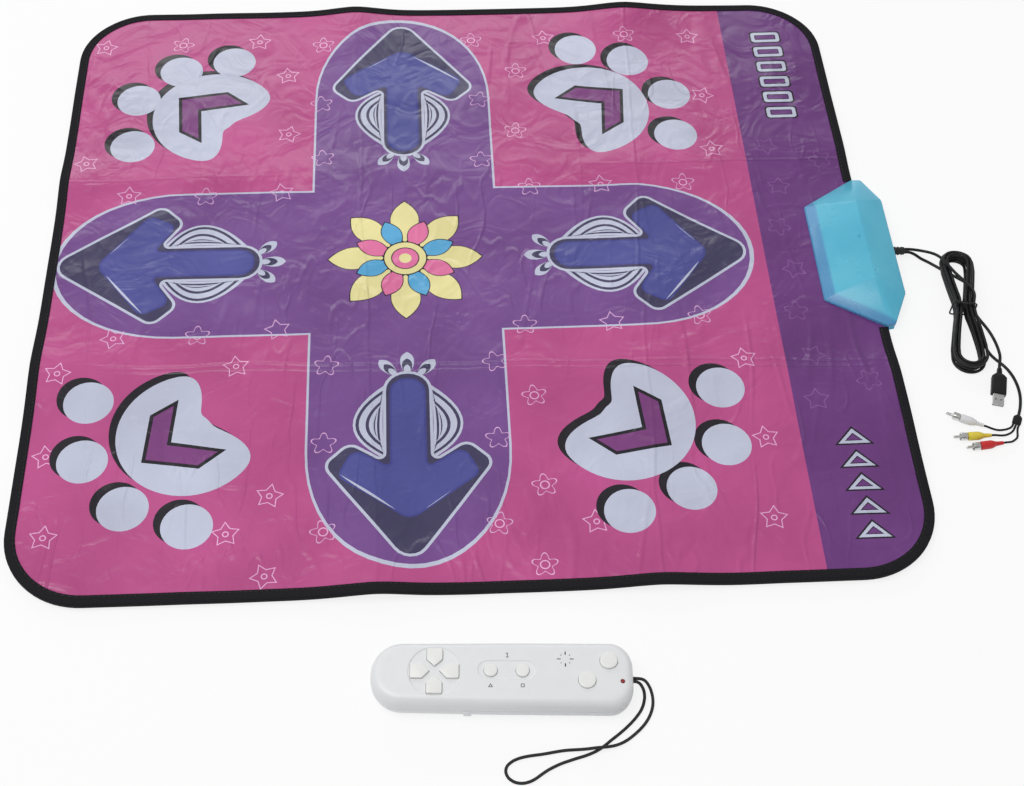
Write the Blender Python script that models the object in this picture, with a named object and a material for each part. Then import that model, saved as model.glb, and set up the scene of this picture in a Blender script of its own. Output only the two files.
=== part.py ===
# Dance mat controller: a foot mat with ten step zones, a receiver box on its right edge, two hanked leads
# and a hand-held pad with a wrist lanyard. Metres, +Z up, origin on the floor under the mat's middle.
import math

import bmesh
import bpy
from mathutils import Matrix, Vector

for old in list(bpy.data.objects):
    bpy.data.objects.remove(old, do_unlink=True)

MM = 0.001

# Mat, outside sizes
MAT_W = 930 * MM
MAT_D = 850 * MM
CORNER_R = 85 * MM
GAP = 0.3 * MM
# Layers, from the floor up
BOTTOM_TOP = 1.4 * MM
BOTTOM_RIM_Z = 0.9 * MM
FILM_T = 0.3 * MM
LOWER_FILM_Z = BOTTOM_TOP + GAP
FOAM_Z = LOWER_FILM_Z + FILM_T + GAP
FOAM_T = 1.3 * MM
UPPER_FILM_Z = FOAM_Z + FOAM_T + GAP
TOP_Z = UPPER_FILM_Z + FILM_T + GAP
TOP_T = 1.5 * MM
MAT_TOP = TOP_Z + TOP_T
# Edge binding
BIND_W = 11 * MM
BIND_WEB = 0.9 * MM
BIND_LEG = 0.5 * MM
BIND_TOP_T = 0.8 * MM
BIND_Z = 0.1 * MM
LAYER_INSET = BIND_WEB + GAP
INNER_INSET = 13 * MM
# Step zones: each arrow's tip stands this far from the mat's edge
PAD_T = 0.9 * MM
PAD_GAP = 0.35 * MM
TIP_LEFT = 7 * MM
TIP_RIGHT = 139 * MM
TIP_FAR = 29 * MM
TIP_NEAR = 37 * MM
ARROW_LEN = 232 * MM
ARROW_HEAD = 111 * MM
ARROW_HALF = 88 * MM
ARROW_TIP_R = 20 * MM
ARROW_CORNER_R = 14 * MM
SHAFT_HALF = 26 * MM
ZONE_HOLE_INSET = 9 * MM
# Corner zones: how much nearer to the middle they lie than the arrows' tips
PAW_BACK_X = 158 * MM
PAW_BACK_Y = 162 * MM
PAW_R = 75 * MM
PAW_SWELL = 8.5 * MM
PAW_SWELL_TURN = math.radians(62)
PAW_NOTCH = 51 * MM
PAW_NOTCH_TURN = math.radians(15)
PAW_NOTCH_ANGLE = math.radians(43)
# The two zones of the side strip
KEY_ZONE_EDGE = 35 * MM
KEY_ZONE_W = 64 * MM
KEY_ZONE_R = 18 * MM
SELECT_EDGE = 43 * MM
SELECT_LEN = 176 * MM
START_EDGE = 33 * MM
START_LEN = 156 * MM
# Receiver box, which stands across the mat's right edge
BOX_Y = -2 * MM
BOX_IN = 65 * MM
BOX_OUT = 25 * MM
BOX_HALF = 110 * MM
BOX_FLAT = 70 * MM
BOX_POINT_IN = 2 * MM
BOX_POINT_OUT = 8 * MM
BOX_POINT_CUT = 2 * MM
BOX_WALL = 2.2 * MM
BOX_BOTTOM = MAT_TOP + GAP
BOX_RIDGE_Z = 30 * MM
BOX_RIDGE_IN = 10 * MM
BOX_RIDGE_HALF = 58 * MM
BOX_SHOULDER_Z = 15 * MM
BOX_SHOULDER_IN = 52 * MM
BOX_SHOULDER_HALF = 66 * MM
RIM_INNER = 8 * MM
RIM_POINT = 10 * MM
RIM_BEVEL = 12 * MM
RIM_OUTER = 17 * MM
BASE_INSET = 0.5 * MM
BASE_WALL = 2.7 * MM
CLAMP_W = 12 * MM
SCREW_R = 1.5 * MM
SCREW_HEAD_R = 2.6 * MM
SCREW_HEAD_Z = 1.6 * MM
SCREW_HEAD_T = 1.6 * MM
SCREW_LEN = 9.6 * MM
BOSS_R = 3.6 * MM
POST_TOP = 7.1 * MM
REST_TOP = 7.6 * MM
BOARD_T = 1.5 * MM
BOARD_W = 47 * MM
BOARD_D = 80 * MM
BOARD_OUT = 14 * MM
# Leads
LEAD_D = 3.4 * MM
LEAD_STEP = 4.0 * MM
EXIT_Z = 10.2 * MM
PIG_D = 2.4 * MM
# Handset
HAND_L = 244 * MM
HAND_HALF = 32.5 * MM
HAND_H = 30 * MM
HAND_SEAM = 15 * MM
HAND_X = 17 * MM
HAND_BEFORE = 95.5 * MM
HAND_TURN = math.radians(-2.86)
SHELL_T = 2.2 * MM
LANYARD_D = 3.0 * MM

# Places that follow from these sizes
EDGE_X = MAT_W / 2
EDGE_Y = MAT_D / 2
TIP_LEFT_X = TIP_LEFT - EDGE_X
TIP_RIGHT_X = EDGE_X - TIP_RIGHT
TIP_FAR_Y = EDGE_Y - TIP_FAR
TIP_NEAR_Y = TIP_NEAR - EDGE_Y
ZONE_X = (TIP_LEFT_X + TIP_RIGHT_X) / 2
ZONE_Y = (TIP_FAR_Y + TIP_NEAR_Y) / 2
PAW_X = (TIP_RIGHT_X - TIP_LEFT_X) / 2 - PAW_BACK_X
PAW_Y = (TIP_FAR_Y - TIP_NEAR_Y) / 2 - PAW_BACK_Y
FACE_X = EDGE_X + BOX_OUT
HAND_Y = -EDGE_Y - HAND_BEFORE


# Small helpers
def material(ob, rgb, rough, metal=0.0):
    mat = bpy.data.materials.new(ob.name)
    mat.use_nodes = True
    node = mat.node_tree.nodes["Principled BSDF"]
    node.inputs["Base Color"].default_value = (*rgb, 1.0)
    node.inputs["Roughness"].default_value = rough
    node.inputs["Metallic"].default_value = metal
    ob.data.materials.clear()
    ob.data.materials.append(mat)


def finish(name, bm, smooth=False):
    bmesh.ops.triangulate(bm, faces=bm.faces[:])
    bmesh.ops.recalc_face_normals(bm, faces=bm.faces)
    me = bpy.data.meshes.new(name)
    bm.to_mesh(me)
    bm.free()
    if smooth:
        for face in me.polygons:
            face.use_smooth = True
    ob = bpy.data.objects.new(name, me)
    bpy.context.scene.collection.objects.link(ob)
    return ob


def plate(name, outline, z0, z1, holes=()):
    bm = bmesh.new()
    for ring in (outline, *holes):
        verts = [bm.verts.new((x, y, z0)) for x, y in ring]
        for i, v in enumerate(verts):
            bm.edges.new((v, verts[(i + 1) % len(verts)]))
    bmesh.ops.triangle_fill(bm, use_beauty=True, use_dissolve=False, edges=bm.edges[:])
    grown = bmesh.ops.extrude_face_region(bm, geom=bm.faces[:])
    for v in grown["geom"]:
        if isinstance(v, bmesh.types.BMVert):
            v.co.z = z1
    return finish(name, bm)


def loft(name, rings, smooth=False):
    bm = bmesh.new()
    rows = [[bm.verts.new(p) for p in ring] for ring in rings]
    n = len(rows[0])
    for low, high in zip(rows, rows[1:]):
        for i in range(n):
            bm.faces.new((low[i], low[(i + 1) % n], high[(i + 1) % n], high[i]))
    bm.faces.new(rows[0][::-1])
    bm.faces.new(rows[-1])
    return finish(name, bm, smooth)


def circle(x, y, r, n=24, turn=0.0):
    return [
        (x + r * math.cos(turn + 2 * math.pi * i / n), y + r * math.sin(turn + 2 * math.pi * i / n))
        for i in range(n)
    ]


def turned(name, x, y, profile, n=24, smooth=True):
    rings = [[(px, py, z) for px, py in circle(x, y, r, n)] for r, z in profile]
    return loft(name, rings, smooth)


def rounded(x0, y0, x1, y1, r, n=6):
    pts = []
    middles = ((x1 - r, y1 - r, 0), (x0 + r, y1 - r, 90), (x0 + r, y0 + r, 180), (x1 - r, y0 + r, 270))
    for cx, cy, a in middles:
        for i in range(n + 1):
            t = math.radians(a + 90 * i / n)
            pts.append((cx + r * math.cos(t), cy + r * math.sin(t)))
    return pts


def box(name, x0, y0, z0, x1, y1, z1):
    return plate(name, [(x0, y0), (x1, y0), (x1, y1), (x0, y1)], z0, z1)


def inset(ring, amount):
    # Moves a counter-clockwise outline inwards by the amount
    out = []
    n = len(ring)
    for i in range(n):
        a = Vector(ring[i - 1])
        b = Vector(ring[i])
        c = Vector(ring[(i + 1) % n])
        d1 = (b - a).normalized()
        d2 = (c - b).normalized()
        n1 = Vector((-d1.y, d1.x))
        n2 = Vector((-d2.y, d2.x))
        mid = (n1 + n2).normalized()
        out.append(tuple(b + mid * (amount / max(0.35, mid.dot(n1)))))
    return out


def cut(ob, cutter, how="DIFFERENCE", solver="EXACT", merge=True):
    # A Boolean whose result is kept as triangles. Flat faces that meet in a plane are merged first, if asked
    cutter.display_type = "WIRE"
    cutter.hide_render = True
    mod = ob.modifiers.new("cut", "BOOLEAN")
    mod.operation = how
    mod.solver = solver
    mod.object = cutter
    graph = bpy.context.evaluated_depsgraph_get()
    me = bpy.data.meshes.new_from_object(ob.evaluated_get(graph))
    ob.modifiers.clear()
    bm = bmesh.new()
    bm.from_mesh(me)
    bmesh.ops.remove_doubles(bm, verts=bm.verts[:], dist=0.00001)
    if merge:
        bmesh.ops.dissolve_limit(bm, angle_limit=0.002, verts=bm.verts[:], edges=bm.edges[:])
    bmesh.ops.triangulate(bm, faces=bm.faces[:])
    bmesh.ops.dissolve_degenerate(bm, dist=0.00001, edges=bm.edges[:])
    bm.to_mesh(me)
    bm.free()
    old_mesh = ob.data
    ob.data = me
    bpy.data.meshes.remove(old_mesh)
    bpy.data.objects.remove(cutter, do_unlink=True)


def join(ob, other, solver="EXACT", merge=True):
    cut(ob, other, "UNION", solver, merge)


def place(ob, matrix):
    ob.data.transform(matrix)
    ob.data.update()


def set_origin(ob, point):
    ob.data.transform(Matrix.Translation(-Vector(point)))
    ob.location = point


def mat_outline(amount):
    # The mat's outline, moved inwards by the amount
    x = EDGE_X - amount
    y = EDGE_Y - amount
    return rounded(-x, -y, x, y, CORNER_R - amount, 10)


# Receiver outline, counter-clockwise from the lower left corner
box_ring = [
    (EDGE_X - BOX_IN, BOX_Y - BOX_FLAT),
    (EDGE_X - BOX_POINT_IN, BOX_Y - BOX_HALF),
    (EDGE_X + BOX_POINT_OUT, BOX_Y - BOX_HALF + BOX_POINT_CUT),
    (FACE_X, BOX_Y - BOX_FLAT),
    (FACE_X, BOX_Y + BOX_FLAT),
    (EDGE_X + BOX_POINT_OUT, BOX_Y + BOX_HALF - BOX_POINT_CUT),
    (EDGE_X - BOX_POINT_IN, BOX_Y + BOX_HALF),
    (EDGE_X - BOX_IN, BOX_Y + BOX_FLAT),
]
base_ring = inset(box_ring, BASE_INSET)
notch_ring = inset(box_ring, CLAMP_W)


def notched(outline, notch):
    # The outline with the notch cut into its right side
    x_edge = max(x for x, y in outline)
    n = len(notch)
    xs = {}
    for i in range(n):
        a = notch[i]
        b = notch[(i + 1) % n]
        if (a[0] - x_edge) * (b[0] - x_edge) < 0:
            t = (x_edge - a[0]) / (b[0] - a[0])
            xs[i] = (x_edge, a[1] + t * (b[1] - a[1]))
    crossings = sorted(xs.values(), key=lambda p: p[1])
    lower = [p for p in notch if p[0] < x_edge and p[1] < BOX_Y]
    upper = [p for p in notch if p[0] < x_edge and p[1] > BOX_Y]
    lower.sort(key=lambda p: p[0], reverse=True)
    upper.sort(key=lambda p: p[0])
    path = [crossings[0], *lower, *upper, crossings[-1]]
    # The outline starts at its right side's upper end and ends at that side's lower end
    return outline + path


# The bottom sheet ends beside the receiver's base. Its rim is thinner, to make room for the binding's leg
base_fit = BASE_INSET - 2 * GAP
bottom_ring = notched(mat_outline(LAYER_INSET), inset(box_ring, base_fit))
bottom = plate("bottom_sheet", bottom_ring, BOTTOM_RIM_Z, BOTTOM_TOP)
bottom_low = plate(
    "bottom_low",
    notched(mat_outline(BIND_W + 1.5 * MM), inset(box_ring, base_fit - 1 * MM)),
    0.0,
    BOTTOM_RIM_Z + 0.2 * MM,
)
join(bottom, bottom_low)
material(bottom, (0.05, 0.05, 0.055), 0.7)

inner_ring = notched(mat_outline(INNER_INSET), notch_ring)
for name, low in (("lower_contact_film", LOWER_FILM_Z), ("upper_contact_film", UPPER_FILM_Z)):
    film = plate(name, inner_ring, low, low + FILM_T)
    material(film, (0.62, 0.63, 0.62), 0.45)


# Zone outlines, counter-clockwise
def fillet(corners, n=4):
    # An outline with each corner, given as x, y and radius, rounded
    out = []
    for i, (x, y, r) in enumerate(corners):
        corner = Vector((x, y))
        before = (Vector(corners[i - 1][:2]) - corner).normalized()
        after = (Vector(corners[(i + 1) % len(corners)][:2]) - corner).normalized()
        half = before.angle(after) / 2
        centre = corner + (before + after).normalized() * (r / math.sin(half))
        start = corner + before * (r / math.tan(half)) - centre
        sweep = (math.pi - 2 * half) * (1 if before.cross(after) < 0 else -1)
        for k in range(n + 1):
            out.append(tuple(centre + Matrix.Rotation(sweep * k / n, 2) @ start))
    return out


def arrow_points(tip_x, tip_y, turn):
    # A round tip, two round barbs that hang below the inner corners, and a shaft with a round end
    left = [
        (-ARROW_HALF - 2 * MM, -ARROW_HEAD - 4 * MM, ARROW_CORNER_R),
        (-ARROW_HALF + 27 * MM, -ARROW_HEAD - 32 * MM, ARROW_CORNER_R),
        (-SHAFT_HALF, -ARROW_HEAD - 8 * MM, 4 * MM),
        (-SHAFT_HALF, -ARROW_LEN, SHAFT_HALF - 1 * MM),
    ]
    right = [(-x, y, r) for x, y, r in reversed(left)]
    lean = math.atan2(ARROW_HALF, ARROW_HEAD + ARROW_TIP_R * 0.7)
    tip = (0.0, ARROW_TIP_R * (1 / math.sin(lean) - 1), ARROW_TIP_R)
    c = math.cos(turn)
    s = math.sin(turn)
    return [(tip_x + c * x - s * y, tip_y + s * x + c * y) for x, y in fillet([tip, *left, *right])]


def paw_points(sx, sy):
    # A pad with a broad notch that faces the mat's middle, and a fuller lobe towards its front or back edge
    pts = []
    for i in range(40):
        off = 2 * math.pi * i / 40 - math.pi
        notch = math.exp(-(((off + PAW_NOTCH_TURN) / PAW_NOTCH_ANGLE) ** 4))
        r = PAW_R + PAW_SWELL * math.cos(off + PAW_SWELL_TURN) - PAW_NOTCH * notch
        a = off - math.pi * 0.75
        pts.append((ZONE_X + sx * (PAW_X + r * math.cos(a)), ZONE_Y + sy * (PAW_Y + r * math.sin(a))))
    return pts if sx * sy > 0 else pts[::-1]


key_x1 = EDGE_X - KEY_ZONE_EDGE
key_x0 = key_x1 - KEY_ZONE_W
select_y = EDGE_Y - SELECT_EDGE
start_y = START_EDGE - EDGE_Y
zones = {
    "pad_up": arrow_points(ZONE_X, TIP_FAR_Y, 0),
    "pad_left": arrow_points(TIP_LEFT_X, ZONE_Y, math.pi / 2),
    "pad_down": arrow_points(ZONE_X, TIP_NEAR_Y, math.pi),
    "pad_right": arrow_points(TIP_RIGHT_X, ZONE_Y, -math.pi / 2),
    "pad_corner_ne": paw_points(1, 1),
    "pad_corner_nw": paw_points(-1, 1),
    "pad_corner_sw": paw_points(-1, -1),
    "pad_corner_se": paw_points(1, -1),
    "pad_select": rounded(key_x0, select_y - SELECT_LEN, key_x1, select_y, KEY_ZONE_R, 5),
    "pad_start": rounded(key_x0, start_y, key_x1, start_y + START_LEN, KEY_ZONE_R, 5),
}

foam = plate(
    "spacer_foam",
    inner_ring,
    FOAM_Z,
    FOAM_Z + FOAM_T,
    [inset(ring, ZONE_HOLE_INSET)[::-1] for ring in zones.values()],
)
material(foam, (0.75, 0.75, 0.72), 0.9)

top = plate(
    "top_sheet",
    notched(mat_outline(LAYER_INSET), notch_ring),
    TOP_Z,
    MAT_TOP,
    [inset(ring, -PAD_GAP)[::-1] for ring in zones.values()],
)
material(top, (0.62, 0.09, 0.30), 0.35)

PAD_COLOURS = {"pad_c": (0.72, 0.75, 0.85), "pad_s": (0.13, 0.035, 0.22)}
for name, ring in zones.items():
    pad = plate(name, ring, MAT_TOP - PAD_T, MAT_TOP)
    xs = [p[0] for p in ring]
    ys = [p[1] for p in ring]
    set_origin(pad, ((min(xs) + max(xs)) / 2, (min(ys) + max(ys)) / 2, MAT_TOP - PAD_T / 2))
    material(pad, PAD_COLOURS.get(name[:5], (0.05, 0.06, 0.33)), 0.35)

# Edge binding: a C section swept along the mat's edge, open where the receiver sits
bm = bmesh.new()
bind_end = BOX_HALF + 2 * GAP


def edge_line(amount):
    x = EDGE_X - amount
    return [(x, BOX_Y + bind_end), *mat_outline(amount), (x, BOX_Y - bind_end)]


BIND_TOP = MAT_TOP + GAP + BIND_TOP_T
outer = edge_line(0.0)
web = edge_line(BIND_WEB)
inner = edge_line(BIND_W)
rows = []
for o, w, i in zip(outer, web, inner):
    section = [
        (o, BIND_Z),
        (o, BIND_TOP),
        (i, BIND_TOP),
        (i, MAT_TOP + GAP),
        (w, MAT_TOP + GAP),
        (w, BIND_Z + BIND_LEG),
        (i, BIND_Z + BIND_LEG),
        (i, BIND_Z),
    ]
    rows.append([bm.verts.new((p[0], p[1], z)) for p, z in section])
for a, b in zip(rows, rows[1:]):
    for k in range(len(a)):
        m = (k + 1) % len(a)
        bm.faces.new((a[k], a[m], b[m], b[k]))
bm.faces.new(rows[0])
bm.faces.new(rows[-1][::-1])
binding = finish("edge_binding", bm)
material(binding, (0.012, 0.012, 0.014), 0.8)


# Receiver: base plate under the mat with an outer wall, and a faceted cover over it
def hull(name, pts):
    bm = bmesh.new()
    for p in pts:
        bm.verts.new(p)
    out = bmesh.ops.convex_hull(bm, input=bm.verts[:])
    loose = [g for g in out["geom_interior"] if isinstance(g, bmesh.types.BMVert)]
    bmesh.ops.delete(bm, geom=loose, context="VERTS")
    bmesh.ops.dissolve_limit(bm, angle_limit=0.01, verts=bm.verts[:], edges=bm.edges[:])
    return finish(name, bm)


def cover_points(grow, z_low, drop):
    ring = inset(box_ring, grow)
    rim = [RIM_INNER, RIM_POINT, RIM_BEVEL, RIM_OUTER, RIM_OUTER, RIM_BEVEL, RIM_POINT, RIM_INNER]
    pts = [(x, y, z_low) for x, y in ring]
    pts += [(x, y, z - drop) for (x, y), z in zip(ring, rim)]
    shoulder = EDGE_X - BOX_SHOULDER_IN + grow * 0.6
    ridge = EDGE_X - BOX_RIDGE_IN
    for s in (-1, 1):
        pts.append((shoulder, BOX_Y + s * (BOX_SHOULDER_HALF - grow), BOX_SHOULDER_Z - drop))
        pts.append((ridge, BOX_Y + s * (BOX_RIDGE_HALF - grow), BOX_RIDGE_Z - drop))
    return pts


cover = hull("receiver_cover", cover_points(0.0, BOX_BOTTOM, 0.0))
hollow = hull("hollow", cover_points(BOX_WALL, BOX_BOTTOM - 2 * MM, BOX_WALL))
cut(cover, hollow)
# Four screws: two near the inner edge and two near the points
screw_spots = []
for x, half in ((EDGE_X - 41 * MM, 44 * MM), (EDGE_X + 2 * MM, 66 * MM)):
    screw_spots += [(x, BOX_Y - half), (x, BOX_Y + half)]
boss_tops = (18 * MM, 18 * MM, 22 * MM, 22 * MM)
screw_top = SCREW_HEAD_Z + SCREW_HEAD_T + SCREW_LEN
for (x, y), high in zip(screw_spots, boss_tops):
    boss = turned("boss", x, y, [(BOSS_R, POST_TOP + GAP), (BOSS_R, high)], 12)
    trim = hull("trim", cover_points(BOX_WALL / 2, 0.0, BOX_WALL / 2))
    cut(boss, trim, "INTERSECT")
    join(cover, boss)
    cut(cover, turned("bore", x, y, [(SCREW_R + GAP, 5 * MM), (SCREW_R + GAP, screw_top + 2 * GAP)], 12))
GLAND_Y = BOX_Y - 3 * MM


def x_bar(name, x0, x1, y, z, radii, n=16):
    # A bar along X with a radius at each end, or a list of (x, radius)
    prof = radii if isinstance(radii, list) else [(x0, radii), (x1, radii)]
    rings = [
        [(px, y + r * math.cos(math.tau * i / n), z + r * math.sin(math.tau * i / n)) for i in range(n)]
        for px, r in prof
    ]
    return loft(name, rings, True)


GLAND_R = 2.9 * MM
cut(cover, x_bar("gland_hole", FACE_X - 10 * MM, FACE_X + 5 * MM, GLAND_Y, EXIT_Z, GLAND_R + GAP))
material(cover, (0.10, 0.48, 0.68), 0.25)

base = plate("receiver_base", base_ring, 0.0, BOTTOM_TOP)
# Its outer wall stands beyond the mat's edge and closes the cover's lower side there
wall_ring = inset(box_ring, BASE_INSET + 0.2 * MM)
wall = plate("wall", wall_ring, 0.4 * MM, MAT_TOP, [inset(box_ring, BASE_INSET + BASE_WALL)[::-1]])
keep = box("keep", EDGE_X + 2 * GAP, -2 * BOX_HALF, -5 * MM, FACE_X + 10 * MM, 2 * BOX_HALF, BOX_RIDGE_Z)
cut(wall, keep, "INTERSECT", merge=False)
join(base, wall, merge=False)
sink_top = SCREW_HEAD_Z + SCREW_HEAD_T + 0.4 * MM
for x, y in screw_spots:
    bore_r = SCREW_R + GAP
    sink_r = SCREW_HEAD_R + GAP
    join(base, turned("post", x, y, [(BOSS_R, 1.0 * MM), (BOSS_R, POST_TOP)], 12), merge=False)
    bore = turned("bore", x, y, [(bore_r, sink_top - 0.2 * MM), (bore_r, POST_TOP + 1 * MM)], 12)
    cut(base, bore, merge=False)
    cut(base, turned("sink", x, y, [(sink_r, -1 * MM), (sink_r, sink_top)], 12), merge=False)
board_x1 = EDGE_X + BOARD_OUT
board_x0 = board_x1 - BOARD_W
board_y0 = BOX_Y - BOARD_D / 2
board_y1 = BOX_Y + BOARD_D / 2
for x in (board_x0 + 6 * MM, board_x1 - 5 * MM):
    for y in (board_y0 + 4 * MM, board_y1 - 4 * MM):
        join(base, turned("rest", x, y, [(2.2 * MM, 1.0 * MM), (2.2 * MM, REST_TOP)], 10), merge=False)
material(base, (0.06, 0.32, 0.50), 0.35)

for k, (x, y) in enumerate(screw_spots):
    screw = turned(
        f"receiver_screw_{k + 1}",
        x,
        y,
        [
            (SCREW_HEAD_R, SCREW_HEAD_Z),
            (SCREW_HEAD_R, SCREW_HEAD_Z + SCREW_HEAD_T),
            (SCREW_R, SCREW_HEAD_Z + SCREW_HEAD_T),
            (SCREW_R, screw_top),
        ],
        12,
    )
    material(screw, (0.55, 0.55, 0.56), 0.3, 1.0)

board_z = REST_TOP + GAP
board_top = board_z + BOARD_T
board = box("receiver_board", board_x0, board_y0, board_z, board_x1, board_y1, board_top)
# On it: the main chip, a tall capacitor, a socket and small parts, each by its corner, size and height
chips = ((8, 30, 12, 12, 1.6), (26, 52, 8, 8, 5.6), (8, 56, 8, 16, 2.6), (4, 8, 6, 16, 3.0))
for dx, dy, wide, deep, high in chips:
    x = board_x0 + dx * MM
    y = board_y0 + dy * MM
    join(board, box("chip", x, y, board_z + 1 * MM, x + wide * MM, y + deep * MM, board_top + high * MM))
material(board, (0.03, 0.18, 0.08), 0.5)

# The grommet's groove holds the cover's wall. Outside it has two ribs and a collar
inner_side = FACE_X - BOX_WALL - GAP
grommet = x_bar(
    "cable_grommet",
    0,
    0,
    GLAND_Y,
    EXIT_Z,
    [
        (inner_side - 3.5 * MM, GLAND_R + 1.0 * MM),
        (inner_side - 0.2 * MM, GLAND_R + 1.0 * MM),
        (inner_side - 0.1 * MM, GLAND_R),
        (FACE_X + GAP, GLAND_R),
        (FACE_X + GAP + 0.1 * MM, GLAND_R + 2.0 * MM),
        (FACE_X + 3.0 * MM, GLAND_R + 2.0 * MM),
        (FACE_X + 3.4 * MM, GLAND_R + 1.2 * MM),
        (FACE_X + 4.6 * MM, GLAND_R + 1.2 * MM),
        (FACE_X + 5.0 * MM, GLAND_R + 1.9 * MM),
        (FACE_X + 7.0 * MM, GLAND_R + 1.9 * MM),
        (FACE_X + 7.4 * MM, GLAND_R + 1.1 * MM),
        (FACE_X + 8.6 * MM, GLAND_R + 1.1 * MM),
        (FACE_X + 9.0 * MM, GLAND_R + 1.8 * MM),
        (FACE_X + 13.0 * MM, GLAND_R + 1.6 * MM),
    ],
)
material(grommet, (0.012, 0.012, 0.013), 0.7)


# Leads. Each lead is one smooth curve, cut into its run, its hank and its tail
def smooth_path(points, step):
    # Points about one step apart on a Catmull-Rom curve through the route's points. The first and the last
    # stretch stay straight, so that the ends are square to what they meet
    pts = [Vector(p) for p in points]
    fine = []
    for a, b, c, d in zip(pts, pts[1:], pts[2:], pts[3:]):
        square = 2 * a - 5 * b + 4 * c - d
        cube = 3 * b - a - 3 * c + d
        for i in range(20):
            t = i / 20
            fine.append(0.5 * (2 * b + (c - a) * t + square * t**2 + cube * t**3))
    fine.append(pts[-2])
    return [pts[0], *spaced(fine, step), pts[-1]]


def spaced(fine, step):
    lengths = [0.0]
    for a, b in zip(fine, fine[1:]):
        lengths.append(lengths[-1] + (b - a).length)
    count = max(2, round(lengths[-1] / step))
    out = []
    k = 0
    for i in range(count + 1):
        want = lengths[-1] * i / count
        while k < len(fine) - 2 and lengths[k + 1] < want:
            k += 1
        span = lengths[k + 1] - lengths[k]
        t = (want - lengths[k]) / span if span else 0.0
        out.append(fine[k].lerp(fine[k + 1], min(1.0, t)))
    return out


def length_of(pts):
    return sum((b - a).length for a, b in zip(pts, pts[1:]))


def tube(name, pts, diameter, resolution):
    curve = bpy.data.curves.new(name, "CURVE")
    curve.dimensions = "3D"
    curve.bevel_depth = diameter / 2
    curve.bevel_resolution = resolution
    curve.use_fill_caps = True
    spline = curve.splines.new("POLY")
    spline.points.add(len(pts) - 1)
    for point, p in zip(spline.points, pts):
        point.co = (*p, 1.0)
    ob = bpy.data.objects.new(name, curve)
    bpy.context.scene.collection.objects.link(ob)
    return ob


# Hank: u runs from its top end to its bottom end, v to its right
HANK_TOP = Vector((560 * MM, -9 * MM, 0))
HANK_TILT = math.radians(5.6)
HANK_LEN = 168 * MM
FOLD_OUT = 18.3 * MM
FOLD_TOP = FOLD_OUT + LEAD_D / 2
FOLD_LOW = HANK_LEN - FOLD_TOP
RUN_LEN = FOLD_LOW - FOLD_TOP
WAIST_U = HANK_LEN / 2
WAIST_IN = 8.2 * MM
WAIST_HALF = 60 * MM
TURNS = 4
RAISE = 4.0 * MM


def ease(t):
    t = min(1.0, max(0.0, t))
    return t * t * (3 - 2 * t)


def hank_raise(u):
    # The hank lies over one lead that crosses under it, and comes down to the floor at both ends
    return RAISE * ease((u + 8 * MM) / (26 * MM)) * (1 - ease((u - 96 * MM) / (50 * MM)))


def hank_point(u, v, z):
    side = Vector((math.cos(HANK_TILT), -math.sin(HANK_TILT), 0))
    along = Vector((-math.sin(HANK_TILT), -math.cos(HANK_TILT), 0))
    return HANK_TOP + side * v + along * u + Vector((0, 0, z))


def fold_radius(t):
    return FOLD_OUT - LEAD_STEP * (t if t < TURNS / 2 else TURNS - t)


def hank_spot(t, z_start, z_end):
    # t counts turns, from the middle of the right run, down the right and up the left
    r = fold_radius(t)
    z = z_start + (z_end - z_start) * ease((t - TURNS / 2 + 0.15) / 0.3)
    nominal = FOLD_OUT - LEAD_STEP * TURNS / 4
    turn_len = 2 * RUN_LEN + 2 * math.pi * nominal
    s = (t % 1.0) * turn_len
    half_fold = math.pi * nominal
    first = FOLD_LOW - WAIST_U
    if s < first:
        u = WAIST_U + s
        v = r
    elif s < first + half_fold:
        a = (s - first) / nominal
        u = FOLD_LOW + r * math.sin(a)
        v = r * math.cos(a)
    elif s < first + half_fold + RUN_LEN:
        u = FOLD_LOW - (s - first - half_fold)
        v = -r
    elif s < first + 2 * half_fold + RUN_LEN:
        a = (s - first - half_fold - RUN_LEN) / nominal
        u = FOLD_TOP - r * math.sin(a)
        v = -r * math.cos(a)
    else:
        u = FOLD_TOP + (s - first - 2 * half_fold - RUN_LEN)
        v = r
    near = 1 - ease(abs(u - WAIST_U) / WAIST_HALF)
    v -= math.copysign(WAIST_IN * near, v)
    return hank_point(u, v, z + hank_raise(u))


def hank_path(t0, t1, z_start, z_end):
    # 24 points a turn: four steps along each run and eight round each fold
    nominal = FOLD_OUT - LEAD_STEP * TURNS / 4
    turn_len = 2 * RUN_LEN + 2 * math.pi * nominal
    fold = math.pi * nominal
    marks = [0.0, RUN_LEN / 4]
    marks += [RUN_LEN / 2 + fold * k / 8 for k in range(9)]
    marks += [RUN_LEN / 2 + fold + RUN_LEN * k / 4 for k in range(1, 4)]
    marks += [RUN_LEN * 1.5 + fold + fold * k / 8 for k in range(9)]
    marks += [RUN_LEN * 1.75 + 2 * fold]
    times = [k + m / turn_len for k in range(6) for m in marks]
    times = [t0, *[t for t in times if t0 + 0.02 < t < t1 - 0.02], t1]
    return [hank_spot(t, z_start, z_end) for t in times]


FLOOR_Z = LEAD_D / 2
LAYERS = [FLOOR_Z + LEAD_STEP * k for k in range(4)]
USB_TURNS = 4.0
AV_TURNS = 4.10
av_hank_pts = hank_path(0.0, AV_TURNS, LAYERS[0], LAYERS[1])
usb_hank_pts = hank_path(0.0, USB_TURNS, LAYERS[3], LAYERS[2])

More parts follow.
